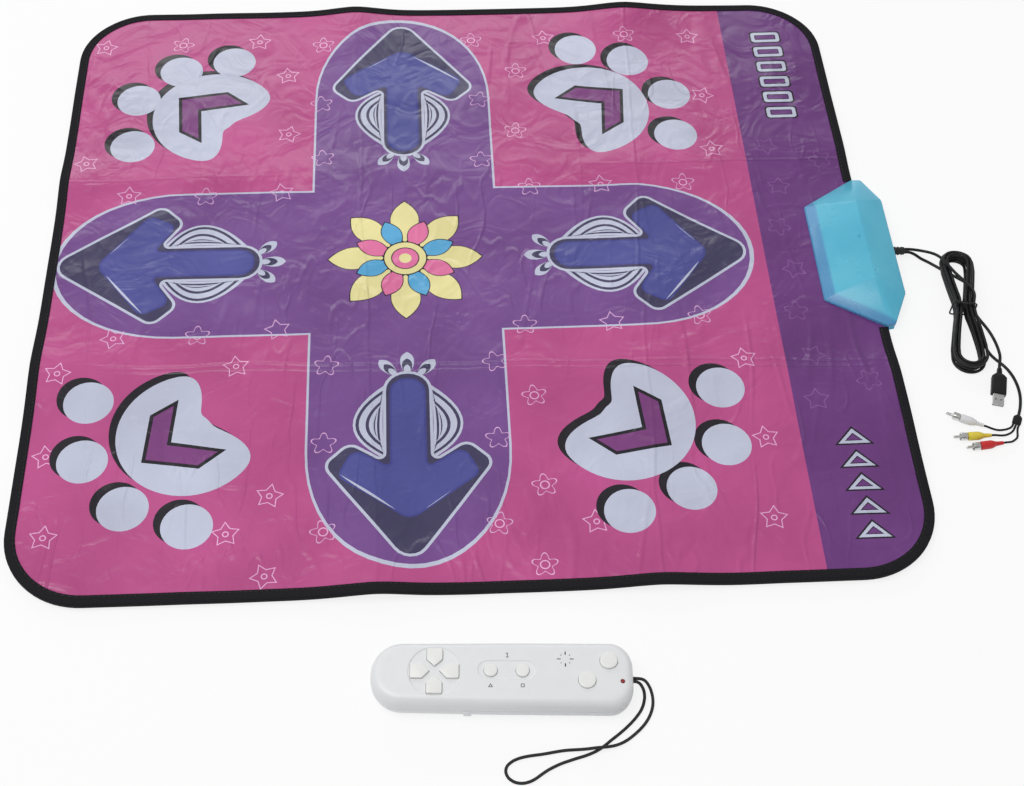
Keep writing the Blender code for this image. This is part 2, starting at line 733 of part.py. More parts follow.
# The AV lead crosses under the hank, the USB lead over it
av_run_route = [
    (503.3 * MM, -7.2 * MM, EXIT_Z),
    (508.0 * MM, -7.2 * MM, 10.1 * MM),
    (515.0 * MM, -8.2 * MM, 7.4 * MM),
    (523.5 * MM, -11.0 * MM, 2.6 * MM),
    (532.5 * MM, -17.0 * MM, 1.7 * MM),
    (542.0 * MM, -25.5 * MM, 1.7 * MM),
    (552.0 * MM, -34.0 * MM, 1.7 * MM),
    (562.0 * MM, -42.5 * MM, 1.7 * MM),
    (570.6 * MM, -51.5 * MM, 1.7 * MM),
    (572.6 * MM, -62.0 * MM, 1.9 * MM),
    (569.6 * MM, -73.0 * MM, 3.2 * MM),
    (565.2 * MM, -82.5 * MM, 5.0 * MM),
]
usb_run_route = [
    (503.3 * MM, -2.8 * MM, EXIT_Z),
    (508.0 * MM, -2.8 * MM, 10.2 * MM),
    (517.0 * MM, -3.6 * MM, 9.6 * MM),
    (527.0 * MM, -6.4 * MM, 9.8 * MM),
    (534.0 * MM, -13.0 * MM, 13.6 * MM),
    (538.0 * MM, -22.5 * MM, 19.0 * MM),
    (542.0 * MM, -33.0 * MM, 21.8 * MM),
    (548.5 * MM, -47.5 * MM, 22.1 * MM),
    (556.0 * MM, -60.0 * MM, 22.0 * MM),
    (560.8 * MM, -68.0 * MM, 22.1 * MM),
    (563.6 * MM, -74.5 * MM, 21.9 * MM),
    (564.8 * MM, -80.4 * MM, 20.6 * MM),
]
usb_tail_route = [
    (564.2 * MM, -106.5 * MM, 13.2 * MM),
    (569.2 * MM, -114.5 * MM, 11.0 * MM),
    (574.8 * MM, -124.0 * MM, 8.2 * MM),
    (578.6 * MM, -136.0 * MM, 6.4 * MM),
    (579.6 * MM, -150.0 * MM, 6.5 * MM),
    (578.4 * MM, -160.5 * MM, 6.9 * MM),
]
av_tail_route = [
    (568.2 * MM, -144.5 * MM, 4.0 * MM),
    (571.6 * MM, -151.5 * MM, 2.0 * MM),
    (577.0 * MM, -159.0 * MM, 1.7 * MM),
    (583.6 * MM, -168.0 * MM, 1.7 * MM),
    (588.6 * MM, -180.0 * MM, 1.7 * MM),
    (590.8 * MM, -194.0 * MM, 1.7 * MM),
    (590.0 * MM, -209.0 * MM, 1.7 * MM),
    (585.5 * MM, -225.0 * MM, 1.7 * MM),
    (579.0 * MM, -239.0 * MM, 1.7 * MM),
]
# Plugs: where the rear end is, and which way the plug points
USB_REAR = Vector((575.6 * MM, -171.5 * MM, 4.2 * MM))
USB_TURN = Vector((-0.266, -0.964, 0)).normalized()
WHITE_REAR = Vector((540.5 * MM, -246.0 * MM, 4.8 * MM))
WHITE_TURN = Vector((-0.90, 0.43, 0)).normalized()
YELLOW_REAR = Vector((545.5 * MM, -258.6 * MM, 4.8 * MM))
YELLOW_TURN = Vector((-1.0, -0.02, 0)).normalized()
RED_REAR = Vector((556.0 * MM, -268.6 * MM, 4.8 * MM))
RED_TURN = Vector((-0.993, -0.115, 0)).normalized()


def lead(name, run_route, hank_pts, t_end, tail_route, end_point, end_turn):
    # The routes meet the hank along its own first and last steps, so the three lie on one curve
    straight = 6 * MM
    head = hank_pts[0]
    heading = (head - hank_spot(-0.09, head.z, head.z)).normalized()
    heading.z = 0.0
    run_route = [Vector(p) for p in run_route]
    run_fine = smooth_path([*run_route, head - heading * straight, head - heading * 1.5 * GAP], 2.5 * LEAD_D)
    tail_head = hank_pts[-1]
    tail_heading = (hank_spot(t_end + 0.09, tail_head.z, tail_head.z) - tail_head).normalized()
    tail_heading.z = 0.0
    route = [tail_head + tail_heading * 1.5 * GAP, tail_head + tail_heading * straight]
    route += [Vector(p) for p in tail_route]
    if end_turn is not None:
        route += [end_point - end_turn * straight, end_point - end_turn * GAP]
    tail_fine = smooth_path(route, 2.5 * LEAD_D)
    for part, pts, res in (("run", run_fine, 2), ("hank", hank_pts, 1), ("tail", tail_fine, 2)):
        ob = tube(f"{name}_{part}", pts, LEAD_D, res)
        material(ob, (0.012, 0.012, 0.013), 0.45)
    total = length_of(run_fine) + length_of(hank_pts) + length_of(tail_fine)
    print(f"{name} lead length {total:.3f} m, points {len(run_fine)} {len(hank_pts)} {len(tail_fine)}")
    return run_fine, hank_pts, tail_fine


usb_parts = lead("usb", usb_run_route, usb_hank_pts, USB_TURNS, usb_tail_route, USB_REAR, USB_TURN)
av_parts = lead("av", av_run_route, av_hank_pts, AV_TURNS, av_tail_route, None, None)
av_end = av_parts[2][-1]
av_end_turn = (av_parts[2][-1] - av_parts[2][-2]).normalized()
side = Vector((av_end_turn.y, -av_end_turn.x, 0)).normalized()


def pigtail(name, offset, up, route, rear, turn):
    begin = av_end + av_end_turn * GAP + side * offset + Vector((0, 0, up))
    pts = [begin, begin + av_end_turn * PIG_D * 1.5, *[Vector(p) for p in route]]
    pts += [rear - turn * (PIG_D * 1.5 + GAP), rear - turn * GAP]
    path = smooth_path(pts, 2.5 * PIG_D)
    ob = tube(name, path, PIG_D, 2)
    material(ob, (0.012, 0.012, 0.013), 0.45)
    print(f"{name} length {length_of(path):.3f} m")
    return path


white_path = pigtail(
    "white_lead",
    2.9 * MM,
    0.0,
    [
        (569.8 * MM, -247.6 * MM, 1.3 * MM),
        (558.0 * MM, -250.6 * MM, 1.9 * MM),
        (549.0 * MM, -249.6 * MM, 3.8 * MM),
    ],
    WHITE_REAR,
    WHITE_TURN,
)
yellow_path = pigtail(
    "yellow_lead",
    0.0,
    0.0,
    [(570.8 * MM, -252.4 * MM, 1.3 * MM), (561.0 * MM, -257.4 * MM, 2.2 * MM)],
    YELLOW_REAR,
    YELLOW_TURN,
)
red_path = pigtail(
    "red_lead",
    -2.9 * MM,
    0.0,
    [
        (576.6 * MM, -250.6 * MM, 1.3 * MM),
        (574.0 * MM, -260.2 * MM, 1.9 * MM),
        (566.5 * MM, -266.6 * MM, 3.8 * MM),
    ],
    RED_REAR,
    RED_TURN,
)


# Least gap between tubes, and of each hank to itself
def dense(pts):
    out = []
    for a, b in zip(pts, pts[1:]):
        n = max(1, int((b - a).length / (1.0 * MM)))
        out += [a.lerp(b, i / n) for i in range(n)]
    out.append(pts[-1])
    return out


def least_gap(pts_a, pts_b, skip, thick):
    # Between points more than the skip apart along one path, or between two paths with skip None
    a_pts = dense(pts_a)
    if skip is None:
        b_pts = dense(pts_b)
        return min((p - q).length for p in a_pts for q in b_pts) - thick
    best = 1.0
    cells = {}
    for i, p in enumerate(a_pts):
        cells.setdefault((int(p.x / 0.006), int(p.y / 0.006), int(p.z / 0.006)), []).append(i)
    for i, p in enumerate(a_pts):
        key = (int(p.x / 0.006), int(p.y / 0.006), int(p.z / 0.006))
        for dx in (-1, 0, 1):
            for dy in (-1, 0, 1):
                for dz in (-1, 0, 1):
                    for j in cells.get((key[0] + dx, key[1] + dy, key[2] + dz), ()):
                        if j - i > skip:
                            best = min(best, (a_pts[j] - p).length)
    return best - thick


print(f"least gap of the usb hank to itself {least_gap(usb_hank_pts, None, 30, LEAD_D) / MM:.2f} mm")
print(f"least gap of the av hank to itself {least_gap(av_hank_pts, None, 30, LEAD_D) / MM:.2f} mm")
for label, one, two, thick in (
    ("usb hank, av hank", usb_hank_pts, av_hank_pts, LEAD_D),
    ("usb run, av run", usb_parts[0], av_parts[0], LEAD_D),
    ("usb run, av hank", usb_parts[0], av_hank_pts, LEAD_D),
    ("av run, usb hank", av_parts[0], usb_hank_pts, LEAD_D),
    ("usb tail, av hank", usb_parts[2], av_hank_pts, LEAD_D),
    ("usb tail, av tail", usb_parts[2], av_parts[2], LEAD_D),
    ("usb tail, av run", usb_parts[2], av_parts[0], LEAD_D),
    ("av tail, usb hank", av_parts[2], usb_hank_pts, LEAD_D),
    ("usb run, usb hank", usb_parts[0][:-3], usb_hank_pts[2:], LEAD_D),
    ("av run, av hank", av_parts[0][:-3], av_hank_pts[2:], LEAD_D),
    ("usb tail, usb hank", usb_parts[2][3:], usb_hank_pts[:-2], LEAD_D),
    ("av tail, av hank", av_parts[2][3:], av_hank_pts[:-2], LEAD_D),
    ("white, yellow", white_path, yellow_path, PIG_D),
    ("yellow, red", yellow_path, red_path, PIG_D),
):
    print(f"gap {label}: {least_gap(one, two, None, thick) / MM:.2f} mm")

# Tie round the waist
TIE_D = 1.8 * MM
tie_z0 = 1.0 * MM
tie_z1 = LAYERS[3] + RAISE + LEAD_D / 2 + 0.5 * MM + TIE_D / 2
tie_half = FOLD_OUT - WAIST_IN + LEAD_D / 2 + 0.5 * MM + TIE_D / 2
tie_ring = rounded(-tie_half, tie_z0, tie_half, tie_z1, 3.2 * MM, 4)
bm = bmesh.new()
rows = []
n = len(tie_ring)
for i, (v, z) in enumerate(tie_ring):
    before = Vector(tie_ring[i - 1])
    after = Vector(tie_ring[(i + 1) % n])
    along = (after - before).normalized()
    out_dir = Vector((along.y, -along.x))
    ring = []
    for k in range(6):
        a = 2 * math.pi * k / 6
        dv = out_dir.x * math.cos(a) * TIE_D / 2
        dz = out_dir.y * math.cos(a) * TIE_D / 2
        ring.append(bm.verts.new(hank_point(WAIST_U + math.sin(a) * TIE_D / 2, v + dv, z + dz)))
    rows.append(ring)
for i in range(n):
    a = rows[i]
    b = rows[(i + 1) % n]
    for k in range(6):
        bm.faces.new((a[k], a[(k + 1) % 6], b[(k + 1) % 6], b[k]))
tie = finish("hank_tie", bm, True)
material(tie, (0.012, 0.012, 0.013), 0.6)


# Plugs, built along +X from their rear end and then turned into place
def turned_x(name, profile, n=14):
    rings = [
        [(px, r * math.cos(2 * math.pi * i / n), r * math.sin(2 * math.pi * i / n)) for i in range(n)]
        for px, r in profile
    ]
    return loft(name, rings, True)


def lay(ob, rear, turn):
    place(ob, Matrix.Translation(rear) @ Matrix.Rotation(math.atan2(turn.y, turn.x), 4, "Z"))


def plug_block(name, sections):
    # Rounded rectangles along X: (x, half width, half height, corner radius)
    rings = []
    for x, hy, hz, r in sections:
        rings.append([(x, y, z) for y, z in rounded(-hy, -hz, hy, hz, r, 2)])
    return loft(name, rings)


usb_body = plug_block(
    "usb_plug_body",
    [
        (0.0, 2.3 * MM, 2.2 * MM, 1.6 * MM),
        (8.5 * MM, 3.0 * MM, 2.6 * MM, 1.8 * MM),
        (9.5 * MM, 5.2 * MM, 3.1 * MM, 1.8 * MM),
        (13.0 * MM, 7.6 * MM, 3.6 * MM, 2.0 * MM),
        (36.0 * MM, 8.0 * MM, 3.7 * MM, 2.0 * MM),
    ],
)
lay(usb_body, USB_REAR, USB_TURN)
material(usb_body, (0.015, 0.015, 0.016), 0.5)
usb_shell = box("usb_plug_shell", 36.3 * MM, -6 * MM, -2.25 * MM, 50 * MM, 6 * MM, 2.25 * MM)
cut(usb_shell, box("mouth", 38.3 * MM, -5.6 * MM, 0.0 * MM, 51 * MM, 5.6 * MM, 1.9 * MM))
for y0 in (-3.9, 1.7):
    cut(usb_shell, box("window", 43 * MM, y0 * MM, 1.0 * MM, 45.4 * MM, (y0 + 2.2) * MM, 3 * MM))
lay(usb_shell, USB_REAR, USB_TURN)
material(usb_shell, (0.72, 0.72, 0.72), 0.25, 1.0)

RCA = [
    (0.0, 1.9 * MM),
    (3.0 * MM, 2.1 * MM),
    (9.0 * MM, 3.2 * MM),
    (13.0 * MM, 4.4 * MM),
    (24.5 * MM, 4.6 * MM),
    (25.0 * MM, 4.2 * MM),
]
# Metal: an open skirt round a pin
CONTACT = [
    (25.3 * MM, 3.4 * MM),
    (26.2 * MM, 4.2 * MM),
    (33.0 * MM, 4.2 * MM),
    (33.0 * MM, 3.6 * MM),
    (27.2 * MM, 3.5 * MM),
    (27.2 * MM, 1.6 * MM),
    (39.0 * MM, 1.6 * MM),
    (40.5 * MM, 0.9 * MM),
]
for label, rear, turn, rgb in (
    ("white", WHITE_REAR, WHITE_TURN, (0.78, 0.78, 0.80)),
    ("yellow", YELLOW_REAR, YELLOW_TURN, (0.80, 0.62, 0.04)),
    ("red", RED_REAR, RED_TURN, (0.65, 0.03, 0.03)),
):
    housing = turned_x(f"{label}_plug", RCA)
    lay(housing, rear, turn)
    material(housing, rgb, 0.4)
    contact = turned_x(f"{label}_contact", CONTACT)
    lay(contact, rear, turn)
    material(contact, (0.72, 0.72, 0.72), 0.25, 1.0)


# Handset, built with its middle at x = y = 0 and then set in its place on the floor
def hand_outline(amount, n=7):
    # A big round left end, a squarer right end and slightly swelling sides
    half = HAND_L / 2 - amount
    pts = []
    corners = (
        (half, HAND_HALF + 0.8 * MM - amount, 22 * MM - amount * 0.6, 24 * MM - amount * 0.6, 0),
        (-half, HAND_HALF - 0.8 * MM - amount, 30 * MM - amount * 0.6, 30 * MM - amount * 0.6, 90),
        (-half, -(HAND_HALF - 0.8 * MM - amount), 30 * MM - amount * 0.6, 30 * MM - amount * 0.6, 180),
        (half, -(HAND_HALF + 0.8 * MM - amount), 22 * MM - amount * 0.6, 24 * MM - amount * 0.6, 270),
    )
    for x, y, rx, ry, a0 in corners:
        cx = x - math.copysign(rx, x)
        cy = y - math.copysign(ry, y)
        for i in range(n + 1):
            a = math.radians(a0 + 90 * i / n)
            pts.append((cx + rx * math.cos(a), cy + ry * math.sin(a)))
        if a0 in (0, 180):
            sgn = 1 if a0 == 0 else -1
            pts.append((10 * MM * sgn, sgn * (HAND_HALF + 0.5 * MM - amount)))
    return pts


def hand_loft(name, levels, smooth=False):
    return loft(name, [[(x, y, z) for x, y in hand_outline(a)] for a, z in levels], smooth)


upper = hand_loft(
    "handset_upper_shell",
    [
        (0.0, HAND_SEAM + GAP),
        (0.4 * MM, HAND_H - 10 * MM),
        (1.8 * MM, HAND_H - 5 * MM),
        (4.2 * MM, HAND_H - 1.8 * MM),
        (7.5 * MM, HAND_H),
    ],
)
ROOF_Z = HAND_H - SHELL_T - 0.2 * MM
upper_hollow = hand_loft(
    "upper_hollow",
    [
        (SHELL_T, HAND_SEAM - 5 * MM),
        (SHELL_T + 0.4 * MM, HAND_H - 10 * MM),
        (SHELL_T + 2.2 * MM, ROOF_Z - 3 * MM),
        (SHELL_T + 5.0 * MM, ROOF_Z),
    ],
)
cut(upper, upper_hollow)
DPAD = (59.4 * MM - HAND_L / 2, 0.3 * MM)
DISH_R = 25 * MM
DISH_Z = HAND_H - 1.0 * MM
PILL_Z = HAND_H - 0.8 * MM
KEY_FIT = 0.35 * MM
CUT_Z0 = HAND_SEAM + 5 * MM
CUT_Z1 = HAND_H + 3 * MM
cut(upper, turned("dish", *DPAD, [(DISH_R - 0.8 * MM, DISH_Z), (DISH_R + 1.0 * MM, HAND_H + 2 * MM)], 36))
pill_ring = rounded(-22.7 * MM, -7.6 * MM, 30.9 * MM, 11.4 * MM, 9.4 * MM, 6)
cut(upper, plate("pill", pill_ring, PILL_Z, HAND_H + 2 * MM))


def dpad_ring(k, grow):
    a = k * math.pi / 2
    half = 7.3 * MM + grow
    pts = [
        (half, 22.6 * MM + grow),
        (-half, 22.6 * MM + grow),
        (-half, 11.5 * MM - grow * 0.4),
        (0.0, 4.6 * MM - grow * 1.3),
        (half, 11.5 * MM - grow * 0.4),
    ]
    c = math.cos(a)
    s = math.sin(a)
    return [(DPAD[0] + c * x - s * y, DPAD[1] + s * x + c * y) for x, y in pts]


START_KEY = (-10.7 * MM, 1.3 * MM)
SELECT_KEY = (18.8 * MM, 1.3 * MM)
KEY_R = 6.2 * MM
ROUND_1 = (HAND_L / 2 - 23.3 * MM, 11.8 * MM)
ROUND_2 = (HAND_L / 2 - 43.8 * MM, -7.8 * MM)
ROUND_R = 8.2 * MM
LED_SPOT = (HAND_L / 2 - 11.0 * MM, -8.6 * MM)
LED_R = 1.9 * MM
SPEAKER = (HAND_L / 2 - 63.5 * MM, 13.4 * MM)
for k in range(4):
    cut(upper, plate("hole", dpad_ring(k, KEY_FIT), CUT_Z0, CUT_Z1))
pill_holes = ((START_KEY, KEY_R, 24), (SELECT_KEY, KEY_R, 24))
round_holes = ((ROUND_1, ROUND_R, 28), (ROUND_2, ROUND_R, 28))
for spot, r, n in pill_holes + round_holes:
    cut(upper, turned("hole", *spot, [(r + KEY_FIT, CUT_Z0), (r + KEY_FIT, CUT_Z1)], n))
cut(upper, turned("hole", *LED_SPOT, [(LED_R + 0.4 * MM, CUT_Z0), (LED_R + 0.4 * MM, CUT_Z1)], 16))
for k in range(4):
    a = k * math.pi / 2
    c = math.cos(a)
    s = math.sin(a)
    ring = [(4.2 * MM, -0.55 * MM), (7.8 * MM, -0.55 * MM), (7.8 * MM, 0.55 * MM), (4.2 * MM, 0.55 * MM)]
    ring = [(SPEAKER[0] + c * x - s * y, SPEAKER[1] + s * x + c * y) for x, y in ring]
    cut(upper, plate("slot", ring, CUT_Z0, CUT_Z1))
    a += math.pi / 4
    spot = (SPEAKER[0] + 5.6 * MM * math.cos(a), SPEAKER[1] + 5.6 * MM * math.sin(a))
    cut(upper, turned("hole", *spot, [(0.6 * MM, CUT_Z0), (0.6 * MM, CUT_Z1)], 8))
material(upper, (0.75, 0.77, 0.78), 0.35)

lower = hand_loft(
    "handset_lower_shell",
    [(7.0 * MM, 0.0), (3.4 * MM, 2.0 * MM), (1.2 * MM, 6.0 * MM), (0.0, HAND_SEAM)],
)
lower_hollow = hand_loft(
    "lower_hollow",
    [(SHELL_T + 6.0 * MM, 5.0 * MM), (SHELL_T + 1.6 * MM, 8.0 * MM), (SHELL_T, HAND_SEAM + 5 * MM)],
)
# Channel for the battery cover, open at the left end, and the battery bay over it
COVER_L = 107 * MM
COVER_HALF = 17 * MM
COVER_X0 = 9 * MM - HAND_L / 2
COVER_X1 = COVER_X0 + COVER_L
COVER_Z = 0.3 * MM
COVER_T = 1.8 * MM
BAY_X0 = COVER_X0 + 43 * MM
BAY_X1 = COVER_X1 - 10 * MM
BATTERY_R = 5.2 * MM
BATTERY_L = 43 * MM
BAY_HALF = 2 * BATTERY_R + 2 * MM
channel_half = COVER_HALF + GAP
channel_top = COVER_Z + COVER_T + GAP
channel = box("channel", -HAND_L, -channel_half, -1 * MM, COVER_X1 + GAP, channel_half, channel_top)
cut(lower, channel, solver="MANIFOLD")
cut(lower, lower_hollow, solver="MANIFOLD")
cut(lower, box("bay", BAY_X0, -BAY_HALF, 1 * MM, BAY_X1, BAY_HALF, 8 * MM), solver="MANIFOLD")
for s in (-1, 1):
    tab = box("tab", -35.4 * MM, s * 32 * MM - 1.7 * MM, 6 * MM, -28.0 * MM, s * 32 * MM + 1.7 * MM, 14 * MM)
    join(lower, tab, "MANIFOLD")
material(lower, (0.72, 0.74, 0.75), 0.35)

battery_cover = box("battery_cover", COVER_X0, -COVER_HALF, COVER_Z, COVER_X1, COVER_HALF, COVER_Z + COVER_T)
material(battery_cover, (0.72, 0.74, 0.75), 0.35)
hand_pieces = [upper, lower, battery_cover]
for k, y in ((1, BATTERY_R + 2 * GAP), (2, -BATTERY_R - 2 * GAP)):
    x0 = BAY_X0 + 4 * MM
    cell = x_bar(
        f"battery_{k}",
        0,
        0,
        y,
        channel_top + BATTERY_R + GAP,
        [
            (x0, BATTERY_R),
            (x0 + BATTERY_L, BATTERY_R),
            (x0 + BATTERY_L + 0.2 * MM, 2.2 * MM),
            (x0 + BATTERY_L + 1.5 * MM, 2.2 * MM),
        ],
        14,
    )
    material(cell, (0.05, 0.20, 0.10), 0.4, 0.3)
    hand_pieces.append(cell)
BOARD_END = 22 * MM
PAD_END = 30 * MM
board_half = HAND_HALF - 8.5 * MM
hand_board_z = HAND_SEAM + 0.6 * MM
hand_board_top = hand_board_z + 1.6 * MM
board_ring = rounded(BOARD_END - HAND_L / 2, -board_half, HAND_L / 2 - 6 * MM, board_half, 10 * MM, 4)
hand_board = plate("handset_board", board_ring, hand_board_z, hand_board_top)
material(hand_board, (0.03, 0.18, 0.08), 0.5)
hand_pieces.append(hand_board)

# Rubber keypad: one thin sheet with a raised dome under each key
pad_z = hand_board_top + 0.4 * MM
pad_top = pad_z + 1.2 * MM
dome_top = HAND_H - 8.0 * MM
keypad_half = board_half - 1 * MM
keypad_ring = rounded(PAD_END - HAND_L / 2, -keypad_half, HAND_L / 2 - 13 * MM, keypad_half, 8 * MM, 4)
keypad = plate("handset_keypad", keypad_ring, pad_z, pad_top)
dome_spots = []
for dx, dy in ((0, 15), (-15, 0), (0, -15), (15, 0)):
    dome_spots.append((DPAD[0] + dx * MM, DPAD[1] + dy * MM))
dome_spots += [START_KEY, SELECT_KEY, ROUND_1, ROUND_2]
for x, y in dome_spots:
    join(keypad, turned("dome", x, y, [(4.6 * MM, pad_top - 0.4 * MM), (4.0 * MM, dome_top)], 14))
led_way_r = LED_R + 1.1 * MM
cut(keypad, turned("led_way", *LED_SPOT, [(led_way_r, HAND_SEAM), (led_way_r, CUT_Z0 + 5 * MM)], 12))
material(keypad, (0.35, 0.36, 0.37), 0.8)
hand_pieces.append(keypad)
SPEAKER_T = 4.6 * MM
speaker_top = ROOF_Z - 0.4 * MM
SPEAKER_R = 9.5 * MM
speaker_profile = [(SPEAKER_R, speaker_top - SPEAKER_T), (SPEAKER_R, speaker_top)]
speaker = turned("handset_speaker", *SPEAKER, speaker_profile, 24)
material(speaker, (0.05, 0.05, 0.05), 0.6)
hand_pieces.append(speaker)
led_profile = [
    (LED_R, hand_board_top + 0.8 * MM),
    (LED_R, HAND_H + 0.2 * MM),
    (LED_R - 0.7 * MM, HAND_H + 0.9 * MM),
]
led = turned("handset_led", *LED_SPOT, led_profile, 16)
material(led, (0.30, 0.01, 0.015), 0.25)
hand_pieces.append(led)

KEY_Z = dome_top + 1.4 * MM
FLANGE_TOP = ROOF_Z - 1.2 * MM
KEY_ORIGIN_Z = HAND_H - 2 * MM


def key_loft(name, ring_at, top, edge):
    # A key with a flange inside the shell and a softened upper edge
    rings = []
    flange = 0.9 * MM
    side = ((flange, KEY_Z), (flange, FLANGE_TOP), (0.0, FLANGE_TOP), (0.0, top - edge), (-edge, top))
    for grow, z in side:
        rings.append([(x, y, z) for x, y in ring_at(grow)])
    return loft(name, rings)


keys = []
for k, name in enumerate(("dpad_up", "dpad_left", "dpad_down", "dpad_right")):
    key = key_loft(name, lambda grow, k=k: dpad_ring(k, grow), HAND_H + 1.4 * MM, 0.6 * MM)
    keys.append((key, (*dome_spots[k], KEY_ORIGIN_Z)))
for name, spot, r, top, n in (
    ("start_key", START_KEY, KEY_R, HAND_H + 1.2 * MM, 24),
    ("select_key", SELECT_KEY, KEY_R, HAND_H + 1.2 * MM, 24),
    ("round_key_1", ROUND_1, ROUND_R, HAND_H + 2.0 * MM, 28),
    ("round_key_2", ROUND_2, ROUND_R, HAND_H + 2.0 * MM, 28),
):
    key = key_loft(name, lambda grow, spot=spot, r=r, n=n: circle(*spot, r + grow, n), top, 0.7 * MM)
    keys.append((key, (*spot, KEY_ORIGIN_Z)))
for key, _ in keys:
    material(key, (0.80, 0.82, 0.83), 0.35)

hand_place = Matrix.Translation((HAND_X, HAND_Y, 0)) @ Matrix.Rotation(HAND_TURN, 4, "Z")
for ob in hand_pieces:
    place(ob, hand_place)
for key, spot in keys:
    place(key, hand_place)
    set_origin(key, hand_place @ Vector(spot))

# Wrist lanyard: one cord that leaves the right end, makes its loop on the floor and comes back
out_dir = (hand_place.to_3x3() @ Vector((1, 0, 0))).normalized()
LACE_Z = 12 * MM
lace_a = hand_place @ Vector((HAND_L / 2 + GAP, 2.6 * MM, LACE_Z))
lace_b = hand_place @ Vector((HAND_L / 2 + GAP, -0.9 * MM, LACE_Z))
lanyard_route = [
    lace_a,
    lace_a + out_dir * 4.0 * MM,
    (151.5 * MM, -525.6 * MM, 8.6 * MM),
    (156.6 * MM, -535.0 * MM, 3.4 * MM),
    (156.4 * MM, -548.0 * MM, 1.5 * MM),
    (149.8 * MM, -562.0 * MM, 1.5 * MM),
    (138.6 * MM, -573.6 * MM, 1.5 * MM),
    (125.6 * MM, -582.4 * MM, 1.6 * MM),
    (112.9 * MM, -587.0 * MM, 4.4 * MM),
    (103.0 * MM, -588.0 * MM, 5.8 * MM),
    (90.0 * MM, -588.0 * MM, 3.2 * MM),
    (70.5 * MM, -587.9 * MM, 1.5 * MM),
    (52.0 * MM, -590.4 * MM, 1.5 * MM),
    (35.6 * MM, -592.2 * MM, 1.5 * MM),
    (24.4 * MM, -595.5 * MM, 1.5 * MM),
    (17.4 * MM, -601.5 * MM, 1.5 * MM),
    (17.4 * MM, -609.6 * MM, 1.5 * MM),
    (24.0 * MM, -616.0 * MM, 1.5 * MM),
    (33.5 * MM, -617.2 * MM, 1.5 * MM),
    (43.2 * MM, -613.6 * MM, 1.5 * MM),
    (53.0 * MM, -607.0 * MM, 1.5 * MM),
    (66.0 * MM, -600.8 * MM, 1.5 * MM),
    (80.0 * MM, -596.4 * MM, 1.5 * MM),
    (93.2 * MM, -592.6 * MM, 1.5 * MM),
    (104.4 * MM, -587.4 * MM, 1.5 * MM),
    (113.6 * MM, -580.6 * MM, 1.5 * MM),
    (125.6 * MM, -571.6 * MM, 1.5 * MM),
    (137.0 * MM, -561.4 * MM, 1.5 * MM),
    (146.0 * MM, -550.0 * MM, 1.6 * MM),
    (149.6 * MM, -538.6 * MM, 3.6 * MM),
    (147.6 * MM, -530.6 * MM, 8.2 * MM),
    lace_b + out_dir * 4.0 * MM,
    lace_b,
]
lanyard_path = smooth_path(lanyard_route, 2.4 * LANYARD_D)
lanyard = tube("wrist_lanyard", lanyard_path, LANYARD_D, 2)
material(lanyard, (0.012, 0.012, 0.013), 0.75)
print(f"lanyard length {length_of(lanyard_path):.3f} m, points {len(lanyard_path)}")
print(f"least gap of the lanyard to itself {least_gap(lanyard_path, None, 14, LANYARD_D) / MM:.2f} mm")
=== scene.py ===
# %% [markdown]
# # Dressing a dance mat controller
# The measured parts of the mat come in as fixed solids in metres. Each step below gives one of them the
# look of the real thing: printed vinyl that has been folded, sewn tape, moulded plastic, black leads in a
# hank. Everything is made from code, so the whole picture can be built again from this one file.

import math

import bmesh
import bpy
import numpy as np
from mathutils import Matrix, Vector, noise
from mathutils.geometry import delaunay_2d_cdt


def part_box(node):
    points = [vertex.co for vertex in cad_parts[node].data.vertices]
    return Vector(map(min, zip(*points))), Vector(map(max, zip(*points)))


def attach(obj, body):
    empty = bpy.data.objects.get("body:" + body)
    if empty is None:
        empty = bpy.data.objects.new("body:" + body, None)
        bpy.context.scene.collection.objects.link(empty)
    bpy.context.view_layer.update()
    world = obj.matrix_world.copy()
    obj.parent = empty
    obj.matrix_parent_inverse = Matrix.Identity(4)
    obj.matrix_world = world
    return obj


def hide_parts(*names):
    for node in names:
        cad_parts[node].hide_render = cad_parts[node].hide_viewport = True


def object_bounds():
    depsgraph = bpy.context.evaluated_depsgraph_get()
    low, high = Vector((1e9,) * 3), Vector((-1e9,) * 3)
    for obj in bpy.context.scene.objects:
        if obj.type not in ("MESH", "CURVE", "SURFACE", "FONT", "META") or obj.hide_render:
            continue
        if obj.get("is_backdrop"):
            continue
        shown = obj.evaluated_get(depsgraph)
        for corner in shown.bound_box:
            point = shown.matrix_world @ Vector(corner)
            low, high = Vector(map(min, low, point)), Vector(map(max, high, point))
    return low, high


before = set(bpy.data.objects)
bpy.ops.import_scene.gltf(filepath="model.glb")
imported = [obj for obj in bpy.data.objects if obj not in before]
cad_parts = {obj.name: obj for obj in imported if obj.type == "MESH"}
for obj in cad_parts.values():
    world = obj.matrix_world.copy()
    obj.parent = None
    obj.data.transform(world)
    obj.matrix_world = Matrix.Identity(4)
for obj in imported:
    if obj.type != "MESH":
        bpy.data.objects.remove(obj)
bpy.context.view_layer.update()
MM = 0.001

# %% [markdown]
# ## The camera
# The mat was photographed from standing height: a little over a metre up, looking down at about 54
# degrees and turned a few degrees to one side. A camera's place and turn could be dialled in by eye. Here
# they come from the straight edges of the mat, so that far and near edges run as they do in the picture.
# Three small helpers come first: they add an object to the scene, pick one, and make a turn from degrees.


# %% Camera
def added(name, data):
    made = bpy.data.objects.new(name, data)
    bpy.context.scene.collection.objects.link(made)
    return made


def pick(piece):
    bpy.ops.object.select_all(action="DESELECT")
    piece.select_set(True)
    bpy.context.view_layer.objects.active = piece


